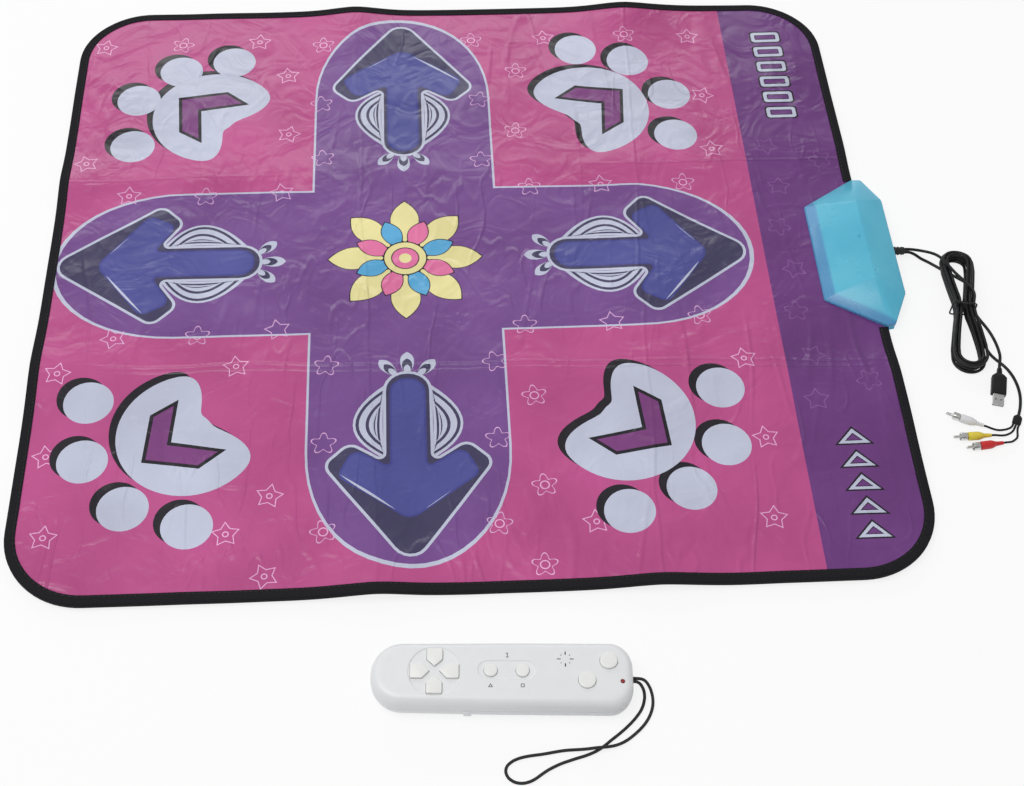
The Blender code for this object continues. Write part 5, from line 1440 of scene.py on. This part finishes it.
round_edges(shell, 2.0, 4, on_outside, 8)
for x, y, top in ((424, -46, 18), (424, 42, 18), (467, -68, 22), (467, 64, 22)):
    boss = rod("boss", 40, 3.6, top - 7.4, (x, y, (top + 7.4) / 2))
    carve(boss, wrapped("trim", box_corners(1.1, 0.0)), "INTERSECT")
    carve(shell, boss, "UNION")
    drill = rod("drill", 32, 1.8, 8.4, (x, y, 9.2))
    carve(shell, drill)
drill = rod("drill", 40, 3.2, 15, (487.5, -5, 10.2), math.pi / 2)
carve(shell, drill)
for radius, depth, operation in ((1.9, 1.6, "DIFFERENCE"), (0.8, 1.2, "UNION")):
    gate = rod("gate", 32, radius, depth, (449, 3, 27.9), math.radians(-19.6))
    round_edges(gate, 0.3, 3)
    carve(shell, gate, operation)
settle(shell, blue_shell, "mat", "receiver_cover", "receiver_cover")
print("receiver shell", len(shell.data.polygons), "faces")

# %% [markdown]
# ## Turned parts
# A plug, a grommet or a screw is round about one line. One draws half of its outline and spins it once
# round. The outline's corners are eased first with the same corner tool that draws the arrows, so that
# each edge catches a thin line of light.


# %% Turning tool
def spun(name, outline, steps=48):
    half = fillet(outline, 3)
    piece = fresh(name, bpy.ops.mesh.primitive_circle_add, vertices=len(half), radius=MM)
    for vertex, (x, r) in zip(piece.data.vertices, half):
        vertex.co = (x * MM, 0, max(0.0, r) * MM)
    bpy.ops.object.mode_set(mode="EDIT")
    bpy.ops.mesh.select_all(action="SELECT")
    bpy.ops.mesh.spin(steps=steps, angle=2 * math.pi, center=(0, 0, 0), axis=(1, 0, 0))
    bpy.ops.mesh.select_all(action="SELECT")
    bpy.ops.mesh.remove_doubles(threshold=0.000002)
    bpy.ops.mesh.dissolve_degenerate(threshold=0.000002)
    faces_outward()
    return piece


def laid(piece, rear, turn):
    spin = Matrix.Rotation(math.atan2(turn.y, turn.x), 4, "Z")
    piece.data.transform(Matrix.Translation(rear) @ spin)
    return piece


# %% Grommet
rubber_black = grained("black_rubber", (0.012, 0.012, 0.013), 0.6, 0.0009, 0.00006)
grommet = spun("lead_grommet", [
    (484.0, 0, 0), (484.0, 3.9, 0.3), (487.3, 3.9, 0.2), (487.3, 2.9, 0.1), (490.3, 2.9, 0.1),
    (490.3, 4.9, 0.4), (493.1, 4.9, 0.5), (493.4, 4.0, 0.2), (494.7, 4.0, 0.2), (495.0, 4.8, 0.4),
    (496.9, 4.8, 0.5), (497.3, 3.9, 0.2), (498.6, 3.9, 0.2), (499.0, 4.7, 0.4), (502.6, 4.4, 0.4),
    (503.0, 3.6, 0.2), (503.0, 0, 0),
])
grommet.data.transform(Matrix.Translation((0, -5 * MM, 10.2 * MM)))
settle(grommet, rubber_black, "mat", "grommet", "cable_grommet")
print("grommet", len(grommet.data.polygons), "faces")

# %% [markdown]
# ## Sound and picture plugs
# Each round plug has a soft coloured boot that narrows to a ribbed neck, a metal skirt cut into four
# springy leaves, and a pin. The boot and the contact are each turned once, and copied for the three
# colours.

# %% Plug finishes
plug_white = grained("white_boot", (0.74, 0.74, 0.76), 0.38, 0.0012, 0.00003, 0.05)
plug_yellow = grained("yellow_boot", (0.76, 0.62, 0.06), 0.38, 0.0012, 0.00003, 0.06)
plug_red = grained("red_boot", (0.62, 0.022, 0.025), 0.38, 0.0012, 0.00003, 0.06)
bright_metal = grained("nickel", (0.66, 0.66, 0.65), 0.26, 0.0007, 0.00001, 0.08, 1.0)

# %% Boots and contacts
boot_line = [(0, 0, 0), (0, 1.9, 0.3)]
for k in range(4):
    x = 1.5 + 1.9 * k
    r = 2.0 + 0.16 * k
    boot_line += [(x, r, 0.1), (x, r - 0.45, 0.05), (x + 0.7, r - 0.42, 0.05), (x + 0.7, r + 0.06, 0.1)]
boot_line += [(9.4, 3.2, 1.0), (13.4, 4.5, 3.0), (24.9, 4.6, 0.6), (25.0, 0, 0)]
boot = spun("boot", boot_line)
contact_line = [
    (25.3, 0, 0), (25.3, 3.4, 0.1), (26.2, 4.2, 0.2), (33.0, 4.2, 0.1), (33.0, 3.7, 0.1), (27.2, 3.5, 0.1),
    (27.2, 1.6, 0.1), (39.4, 1.6, 0.5), (40.5, 0.8, 0.3), (40.5, 0, 0),
]
contact = spun("contact", contact_line)
for turn in (0, math.pi / 2):
    slit = brick("slit", (31.5, 0, 0), (6.4, 10, 0.7))
    core = rod("core", 40, 2.6, 20, (31.5, 0, 0), math.pi / 2)
    carve(slit, core)
    slit.data.transform(Matrix.Rotation(turn + math.pi / 4, 4, "X"))
    carve(contact, slit)
for colour, finish in (("white", plug_white), ("yellow", plug_yellow), ("red", plug_red)):
    for model, word, own, slot in ((boot, "boot", finish, f"{colour}_plug"),
                                   (contact, "prong", bright_metal, "plug_metal")):
        copy = added(f"{colour}_{word}", model.data.copy())
        laid(copy, *PLUGS[colour])
        settle(copy, own, "mat", slot, f"{colour}_plug" if word == "boot" else f"{colour}_contact")
for model in (boot, contact):
    bpy.data.objects.remove(model)

# %% [markdown]
# ## USB plug
# The USB plug's body is a soft black block with a stepped neck. It starts as a cube. Its rear face is
# inset and pulled back twice for the neck, and its edges are rounded. The metal shell is a cube too, with
# its mouth pushed in and two small windows cut in its top.

# %% USB body
usb_body = brick("usb_body", (24.5, 0, 0), (23, 16, 7.4))
for back, squeeze in ((3.6, (1, 0.64, 0.84)), (1.0, (1, 0.62, 0.86)), (8.4, (1, 0.76, 0.84))):
    pick_faces(usb_body, lambda middle, normal: normal.x < -0.9 and middle.x < 13.1)
    bpy.ops.mesh.extrude_region_move(TRANSFORM_OT_translate={"value": (-back * MM, 0, 0)})
    bpy.ops.transform.resize(value=squeeze)
    bpy.ops.object.mode_set(mode="OBJECT")
low = min(v.co.x for v in usb_body.data.vertices)
print("usb body from", round(low / MM, 2))
round_edges(usb_body, 1.5, 5, lambda a, b: abs(a.x - b.x) > 0.5, 20)
round_edges(usb_body, 0.5, 3, None, 30)
for x in (2.6, 4.8, 7.0):
    for side in (-1, 1):
        groove = brick("groove", (x, 0, side * 2.9), (0.9, 3.4, 1.7))
        carve(usb_body, groove)
laid(usb_body, *PLUGS["usb"])
settle(usb_body, lead_black, "mat", "usb_plug", "usb_plug_body")

# %% USB shell
usb_shell = brick("usb_shell", (43.15, 0, 0), (13.7, 12, 4.5))
round_edges(usb_shell, 0.5, 3, lambda a, b: abs(a.x - b.x) > 5, 30)
pick_faces(usb_shell, lambda middle, normal: normal.x > 0.9)
bpy.ops.mesh.inset(thickness=0.32 * MM)
bpy.ops.mesh.extrude_region_move(TRANSFORM_OT_translate={"value": (-11 * MM, 0, 0)})
bpy.ops.object.mode_set(mode="OBJECT")
for y in (-2.8, 2.8):
    window = brick("window", (44.2, y, 2.2), (2.4, 2.2, 1.2))
    round_edges(window, 0.3, 2, lambda a, b: abs(a.z - b.z) > 0.5)
    carve(usb_shell, window)
laid(usb_shell, *PLUGS["usb"])
settle(usb_shell, bright_metal, "mat", "plug_metal", "usb_plug_shell")
tongue = brick("usb_tongue", (44.0, 0, -0.75), (10.8, 10.8, 1.7))
round_edges(tongue, 0.2, 2)
for y in (-3.6, -1.2, 1.2, 3.6):
    lane = brick("lane", (45.4, y, 0.15), (7.2, 1.2, 0.3))
    carve(tongue, lane)
laid(tongue, *PLUGS["usb"])
settle(tongue, plug_white, "mat", "usb_plug")
print("usb plug", len(usb_body.data.polygons) + len(usb_shell.data.polygons), "faces")

# %% [markdown]
# ## Split sleeve and tie
# Where the picture lead splits, a small moulded sleeve holds the three thin ones side by side. A loop of
# black plastic-coated wire keeps the hank together. Its ends are twisted once on top.

# %% Split sleeve
sleeve = brick("split_sleeve", (0.4, 0, 0), (8.8, 9.4, 3.3))
pick_faces(sleeve, lambda middle, normal: normal.x < -0.9)
bpy.ops.mesh.extrude_region_move(TRANSFORM_OT_translate={"value": (-3.0 * MM, 0, 0)})
bpy.ops.transform.resize(value=(1, 0.5, 1))
bpy.ops.object.mode_set(mode="OBJECT")
round_edges(sleeve, 0.9, 4)
laid(sleeve, av_end + Vector((0, 0, 0.1 * MM)), av_turn)
settle(sleeve, lead_black, "mat", "lead")

# %% Wire tie
TIE_D = 1.8 * MM
tie_half = FOLD_OUT - WAIST_IN + LEAD_D / 2 + 0.5 * MM + TIE_D / 2
tie_top = LAYERS[3] + RAISE + LEAD_D / 2 + 0.5 * MM + TIE_D / 2
loop = round_box(-tie_half / MM, 1.0, tie_half / MM, tie_top / MM, 3.2, 8)
curve = round_curve("hank_wire", TIE_D)
ring = curve.splines.new("POLY")
ring.points.add(len(loop) - 1)
ring.use_cyclic_u = True
for point, (v, z) in zip(ring.points, loop):
    point.co = (*hank_point(WAIST_U, v * MM, z * MM), 1)
for turn in (0, math.pi):
    twist = curve.splines.new("POLY")
    twist.points.add(24)
    for i, point in enumerate(twist.points):
        a = turn + 2.4 * math.pi * i / 24
        spread = 0.95 + 0.5 * ease((i - 18) / 6)
        v = -3.5 - 8.5 * i / 24
        point.co = (*hank_point(WAIST_U + spread * math.cos(a) * MM - 1.6 * MM * i / 24, v * MM,
                                tie_top + (1.05 + 0.95 * math.sin(a)) * MM), 1)
pick(added("hank_wire", curve))
bpy.ops.object.convert(target="MESH")
tie_wire = bpy.context.object
settle(tie_wire, rubber_black, "mat", "tie", "hank_tie", smooth=50)
print("tie top", round(max(v.co.z for v in tie_wire.data.vertices) / MM, 1), "mm")

# %% [markdown]
# ## The handset
# A wireless handset of white plastic lies in front of the mat. It is modelled at the middle of the world,
# where measures are easy, and each finished piece is then turned into its place. The two half shells are
# built like a stepped pyramid with very small steps: the top face is inset and raised again and again
# along a soft curve. Blender could round one big bevel instead, but the ends have a different radius from
# the sides, and the insets keep the outline's own shape at every height.


# %% Shell builder
def hand_ring(amount, n=18):
    half = 122 - amount
    ring = []
    corners = (
        (half, 33.3 - amount, 22 - amount * 0.6, 24 - amount * 0.6, 0),
        (-half, 31.7 - amount, 30 - amount * 0.6, 30 - amount * 0.6, 90),
        (-half, -(31.7 - amount), 30 - amount * 0.6, 30 - amount * 0.6, 180),
        (half, -(33.3 - amount), 22 - amount * 0.6, 24 - amount * 0.6, 270),
    )
    for x, y, rx, ry, a0 in corners:
        cx, cy = x - math.copysign(rx, x), y - math.copysign(ry, y)
        for i in range(n + 1):
            a = math.radians(a0 + 90 * i / n)
            ring.append((cx + rx * math.cos(a), cy + ry * math.sin(a)))
        if a0 in (0, 180):
            side = 1 if a0 == 0 else -1
            ring.append((10 * side, side * (33.0 - amount)))
    return ring


def built_up(name, ring, z, steps):
    piece = fresh(name, bpy.ops.mesh.primitive_circle_add, vertices=len(ring), radius=MM, fill_type="NGON")
    for vertex, (x, y) in zip(piece.data.vertices, ring):
        vertex.co = (x * MM, y * MM, z * MM)
    bpy.ops.object.mode_set(mode="EDIT")
    bpy.ops.mesh.select_mode(type="FACE")
    bpy.ops.mesh.select_all(action="SELECT")
    for inset_by, rise in steps:
        bpy.ops.mesh.inset(thickness=max(0.002, inset_by) * MM, depth=rise * MM, use_even_offset=True)
    bpy.ops.mesh.select_mode(type="EDGE")
    bpy.ops.mesh.select_all(action="DESELECT")
    bpy.ops.mesh.select_non_manifold()
    bpy.ops.mesh.edge_face_add()
    faces_outward()
    return piece


def upright(name, outline, x, y, steps=40):
    # A turned part or cutter whose line of spin stands up
    piece = spun(name, outline, steps)
    piece.data.transform(Matrix.Translation((x * MM, y * MM, 0)) @ Matrix.Rotation(-math.pi / 2, 4, "Y"))
    return piece


def block(name, x0, y0, z0, x1, y1, z1, edge=0.0):
    piece = brick(name, ((x0 + x1) / 2, (y0 + y1) / 2, (z0 + z1) / 2), (x1 - x0, y1 - y0, z1 - z0))
    if edge:
        round_edges(piece, edge, 3)
    return piece


hand_white = grained("hand_plastic", (0.79, 0.80, 0.81), 0.36, 0.0009, 0.000012, 0.012, spread=0.06)
key_white = grained("key_plastic", (0.84, 0.84, 0.825), 0.33, 0.0009, 0.00001, 0.012, spread=0.06)
print("outline points", len(hand_ring(0)))

# %% Upper shell
upper = built_up("hand_upper", hand_ring(0), 15.3, [
    (0.12, 2.7), (0.24, 2.0), (0.4, 2.0), (0.55, 2.0), (0.62, 1.5), (0.85, 1.4), (1.0, 1.1), (1.2, 0.8),
    (1.2, 0.5), (1.2, 0.28), (1.2, 0.14), (1.2, 0.08), (1.6, 0.05), (2.2, 0.02),
])
top_z = max(v.co.z for v in upper.data.vertices) / MM
print("upper shell top", round(top_z, 2))
inner = built_up("hollow", hand_ring(2.0), 12.0, [(0.4, 8.0), (1.6, 4.8), (1.2, 1.6), (1.6, 1.2), (2.0, 0.2)])
carve(upper, inner)
dish_line = [(28.95, 0, 0), (28.95, 24.0, 1.6), (30.4, 25.4, 0.8), (33, 26.4, 0), (33, 0, 0)]
dish = upright("dish", dish_line, -62.6, 0.3, 72)
carve(upper, dish)
pill = built_up("pill", moved_in(round_box(-22.7, -7.6, 30.9, 11.4, 9.4, 12), -0.6), 32.0, [
    (0.0, -1.9), (0.35, -0.2), (0.3, -0.35), (0.5, -0.25), (0.8, -0.12),
])
carve(upper, pill)
print("upper shell", len(upper.data.polygons), "faces")

# %% [markdown]
# ## Openings and keys
# Each key stands in an opening that is a third of a millimetre wider than itself. The four arrow keys are
# alike, so one is modelled and copied, and the same goes for the two pairs of round keys. A key has a
# flange under the shell that keeps it from falling out, straight sides, and a softly pillowed top.

# %% Openings
ARROW_KEY = [(7.3, 11.5, 0.9), (7.3, 22.6, 1.3), (-7.3, 22.6, 1.3), (-7.3, 11.5, 0.9), (0.0, 4.6, 0.8)]
arrow_ring = fillet(ARROW_KEY, 5)
PAD_SPOT = (-62.6, 0.3)
LAMP_SPOT = (111, -8.6)
SPEAKER_X, SPEAKER_Y = 58.5, 13.4
ROUND_KEYS = {
    "start_key": (-10.7, 1.3, 6.2, 31.2), "select_key": (18.8, 1.3, 6.2, 31.2),
    "round_key_1": (98.7, 11.8, 8.2, 32.0), "round_key_2": (78.2, -7.8, 8.2, 32.0),
}


def punch(radius, x, y, sides):
    # A plain round hole down through the top face
    carve(upper, upright("hole", [(20, 0, 0), (20, radius, 0), (33, radius, 0), (33, 0, 0)], x, y, sides))


for k in range(4):
    hole = turned(moved_in(arrow_ring, -0.33), *PAD_SPOT, 90 * k)
    carve(upper, built_up("hole", hole, 20.0, [(0.0, 13.0)]))
for x, y, r, top in ROUND_KEYS.values():
    punch(r + 0.33, x, y, 56)
punch(2.2, *LAMP_SPOT, 32)
for k in range(4):
    slot = block("slot", 4.2, -0.55, 20, 7.8, 0.55, 33)
    centre = Matrix.Translation((SPEAKER_X * MM, SPEAKER_Y * MM, 0))
    slot.data.transform(centre @ Matrix.Rotation(math.pi / 2 * k, 4, "Z"))
    carve(upper, slot)
    a = math.pi / 4 + math.pi / 2 * k
    punch(0.6, SPEAKER_X + 5.6 * math.cos(a), SPEAKER_Y + 5.6 * math.sin(a), 16)
upper.data.transform(HAND_PLACE)
settle(upper, hand_white, "handset", "handset_shell", "handset_upper_shell", smooth=32)
print("upper shell", len(upper.data.polygons), "faces after its openings")


# %% Keys
def key_steps(top):
    return [(0.0, 3.2), (0.9, 0.0), (0.02, top - 27.32), (0.06, 0.3), (0.12, 0.2), (0.16, 0.12), (0.2, 0.06)]


arrow_key = built_up("arrow_key", moved_in(arrow_ring, -0.9), 23.4, key_steps(31.4))
for k, name in enumerate(("dpad_up", "dpad_left", "dpad_down", "dpad_right")):
    key = added(f"key_{name}", arrow_key.data.copy())
    spot = Matrix.Translation((PAD_SPOT[0] * MM, PAD_SPOT[1] * MM, 0))
    key.data.transform(HAND_PLACE @ spot @ Matrix.Rotation(math.pi / 2 * k, 4, "Z"))
    settle(key, key_white, name, "handset_keys", name)
bpy.data.objects.remove(arrow_key)
round_models = {}
for name, (x, y, r, top) in ROUND_KEYS.items():
    if r not in round_models:
        crown = [(0.6, 0.09), (1.2, 0.09), (1.6, 0.05)]
        round_models[r] = built_up("round_key", disc(0, 0, r + 0.9, 56), 23.4, key_steps(top - 0.23) + crown)
    key = added(f"key_{name}", round_models[r].data.copy())
    key.data.transform(HAND_PLACE @ Matrix.Translation((x * MM, y * MM, 0)))
    settle(key, key_white, name, "handset_keys", name)
for model in round_models.values():
    bpy.data.objects.remove(model)

# %% Lower shell and battery cover
lower = built_up("hand_lower", hand_ring(0), 15.0, [
    (0.12, -3.0), (0.25, -2.6), (0.4, -2.2), (0.55, -2.0), (0.75, -1.7), (0.95, -1.3), (1.1, -0.95),
    (1.25, -0.65), (1.3, -0.38), (1.3, -0.22),
])
carve(lower, built_up("hollow", hand_ring(2.0), 20.0, [(1.6, -12.0), (4.4, -3.0)]))
carve(lower, block("channel", -244, -17.3, -1, -5.7, 17.3, 2.4))
carve(lower, block("bay", -70, -12.4, 1, -16, 12.4, 8))
for side in (-1, 1):
    carve(lower, block("tab", -35.4, side * 32 - 1.7, 6, -28, side * 32 + 1.7, 14, 0.6), "UNION")
slot = block("lace_slot", 117, -3.2, 9.8, 125, 4.9, 14.2, 0.0)
round_edges(slot, 2.0, 5, lambda a, b: abs(a.x - b.x) > 1)
carve(lower, slot)
lower.data.transform(HAND_PLACE)
settle(lower, hand_white, "handset", "handset_shell", "handset_lower_shell", smooth=32)
cover = block("battery_lid", -113, -17, 0.3, -6, 17, 2.1, 0.35)
for x in (-36, -33, -30, -27, -24):
    carve(cover, block("grip", x, -9, -0.2, x + 1.4, 9, 0.75))
cover.data.transform(HAND_PLACE)
settle(cover, hand_white, "battery_cover", "handset_shell", "battery_cover")
print("lower shell", len(lower.data.polygons), "faces, lid", len(cover.data.polygons))

# %% [markdown]
# ## Lamp and printed marks
# A small red lamp sits in the corner. Plain marks are printed beside the keys: a numeral one over the
# pill, a triangle under one key and a square under the other. They are thin raised ink.

# %% Lamp and marks
lamp_red = grained("lamp_lens", (0.26, 0.010, 0.014), 0.2, 0.002, 0.000005, 0.1)
set_shader(lamp_red, Coat_Weight=0.5)
lens_line = [(17.8, 0, 0), (17.8, 1.9, 0.2), (30.3, 1.9, 0.8), (30.9, 0.9, 0.6), (31.0, 0, 0)]
lens = upright("hand_lamp", lens_line, *LAMP_SPOT, 32)
lens.data.transform(HAND_PLACE)
settle(lens, lamp_red, "handset", "led", "handset_led", smooth=50)
grey_ink = grained("grey_ink", (0.045, 0.045, 0.047), 0.6, 0.0006, 0.00001)
MARKS = {
    "mark_one": [
        (-1.4, -2.4), (1.4, -2.4), (1.4, -1.9), (0.4, -1.9), (0.4, 2.4), (-0.1, 2.4), (-1.2, 1.6),
        (-1.2, 1.0), (-0.2, 1.6), (-0.2, -1.9), (-1.4, -1.9),
    ],
    "mark_triangle": [(-2.2, -1.9), (2.2, -1.9), (0.0, 1.9)],
    "mark_square": [(-1.7, -1.7), (1.7, -1.7), (1.7, 1.7), (-1.7, 1.7)],
}
for name, x, y in (("mark_one", 4.6, 17.0), ("mark_triangle", -10.7, -13.6), ("mark_square", 18.8, -13.6)):
    mark = built_up(name, turned(MARKS[name], x, y), 29.96, [(0.0, 0.08)])
    if name != "mark_one":
        carve(mark, built_up("eye", turned(moved_in(MARKS[name], 0.55), x, y), 29.0, [(0.0, 2.0)]))
    mark.data.transform(HAND_PLACE)
    settle(mark, grey_ink, "handset", None)

# %% [markdown]
# ## Inside the receiver and the handset
# A few measured parts have the right shape already and stay as they are: the receiver's base, the boards,
# the rubber keypad, the speaker and the batteries. They are mostly hidden, but they show through the blue
# plastic, through openings, from below, or when the battery cover slides off. Each gets a finish of its
# own. A material is given to a measured part by setting its material slots, and its mesh isn't touched.


# %% Dressing a measured part
def dress(finish, *names):
    for name in names:
        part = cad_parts[name]
        if not part.material_slots:
            part.data.materials.append(finish)
        for slot in part.material_slots:
            slot.material = finish


base_blue = grained("base_plastic", (0.08, 0.55, 0.80), 0.38, 0.0011, 0.00004, 0.1)
set_shader(base_blue, Transmission_Weight=0.25)
dress(base_blue, "receiver_base")
key_rubber = grained("keypad_rubber", (0.32, 0.33, 0.34), 0.75, 0.0008, 0.00003, 0.08)
dress(key_rubber, "handset_keypad")
print("dressed the base and the keypad")

# %% [markdown]
# ## Circuit boards
# A circuit board is green lacquer over copper. The copper runs show as lighter lines, so a brick texture
# with wide joints is bent a little and used twice, as colour and as bump. The chips are part of the same
# measured part. Their height above the board tells them from it, so anything higher turns black.


# %% Board finish
def board_finish(name, top):
    finish, tree, surface = new_finish(name, 0.35)
    place = coordinates(tree)
    sockets = {"Vector": place, "Scale": 130.0, "Mortar Size": 0.09, "Mortar Smooth": 0.1, "Brick Width": 0.9,
               "Row Height": 0.28}
    runs = node(tree, "ShaderNodeTexBrick", sockets, offset=0.37, squash=0.6).outputs["Fac"]
    green = blend_tones(tree, runs, (0.008, 0.075, 0.030), (0.030, 0.20, 0.075))
    up = node(tree, "ShaderNodeSeparateXYZ", {0: place}).outputs["Z"]
    chip = maths(tree, "GREATER_THAN", up, top * MM)
    speck = cloud(tree, place, 900.0, 2.0)
    black = blend_tones(tree, speck, (0.008, 0.008, 0.009), (0.028, 0.028, 0.03))
    dull = ranged(tree, speck, 0.3, 0.7, 0.28, 0.48)
    wire(tree, surface, mixed_by(tree, chip, green, black), dull, runs, 0.00006, 0.5)
    return finish


dress(board_finish("green_board", 9.6), "receiver_board")
dress(board_finish("key_board", 40.0), "handset_board")

# %% Batteries and speaker
cell_wrap, tree, surface = new_finish("battery_wrap", 0.3, 0.35)
place = coordinates(tree)
axis = (HAND_PLACE.to_3x3() @ Vector((1, 0, 0))).normalized()
down = vectors(tree, "DOT_PRODUCT", place, tuple(axis), "Value")
band = maths(tree, "GREATER_THAN", down, HAND_PLACE.translation.dot(axis) - 0.040)
scuff = cloud(tree, place, 420.0, 3.0)
dark = blend_tones(tree, scuff, (0.012, 0.014, 0.018), (0.030, 0.034, 0.040))
gold = blend_tones(tree, scuff, (0.52, 0.30, 0.10), (0.68, 0.42, 0.16))
dull = ranged(tree, scuff, 0.3, 0.7, 0.22, 0.4)
wire(tree, surface, mixed_by(tree, band, dark, gold), dull, scuff, 0.00003, 0.4)
dress(cell_wrap, "battery_1", "battery_2")
cone_black = grained("speaker_cone", (0.02, 0.02, 0.021), 0.7, 0.0006, 0.00012, 0.2)
dress(cone_black, "handset_speaker")
print("finishes", cell_wrap.name, cone_black.name)

# %% [markdown]
# ## Screws
# Four screws hold the receiver together from below. One is turned from its outline, head, shank and all.
# A cross is cut into its head with two crossed blades, and the finished screw is copied to the other
# three places.

# %% Receiver screws
screw_steel = grained("screw_steel", (0.50, 0.50, 0.51), 0.3, 0.0005, 0.00002, 0.12, 1.0)
screw_line = [(1.6, 0, 0), (1.6, 1.9, 0.2), (2.1, 2.6, 0.4), (3.2, 2.6, 0.1), (3.2, 1.45, 0.1)]
for k in range(7):
    screw_line += [(4.0 + k, 1.45, 0.05), (4.4 + k, 1.2, 0.05), (4.6 + k, 1.2, 0.05), (4.95 + k, 1.45, 0.05)]
screw_line += [(11.2, 1.3, 0.1), (12.8, 0.5, 0.1), (12.8, 0, 0)]
screw = upright("screw", screw_line, 0, 0, 32)
for turn in (0, 90):
    blade = block("blade", -1.6, -0.3, 1.2, 1.6, 0.3, 2.6)
    blade.data.transform(rotation(turn, "Z"))
    carve(screw, blade)
for k in range(4):
    low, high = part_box(f"receiver_screw_{k + 1}")
    middle = (Vector(low) + Vector(high)) / 2
    copy = added(f"box_screw_{k + 1}", screw.data.copy())
    copy.data.transform(Matrix.Translation((middle.x, middle.y, 0)) @ rotation(17 + 31 * k, "Z"))
    settle(copy, screw_steel, "mat", "screw", f"receiver_screw_{k + 1}")
bpy.data.objects.remove(screw)
print("screw from", round(low.z / MM, 2), "to", round(high.z / MM, 2), "mm")

# %% [markdown]
# ## Overall size
# The dressed object should stay the size that was measured. Here the bounds of everything shown are worked
# out.

# %% Bounds
low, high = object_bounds()
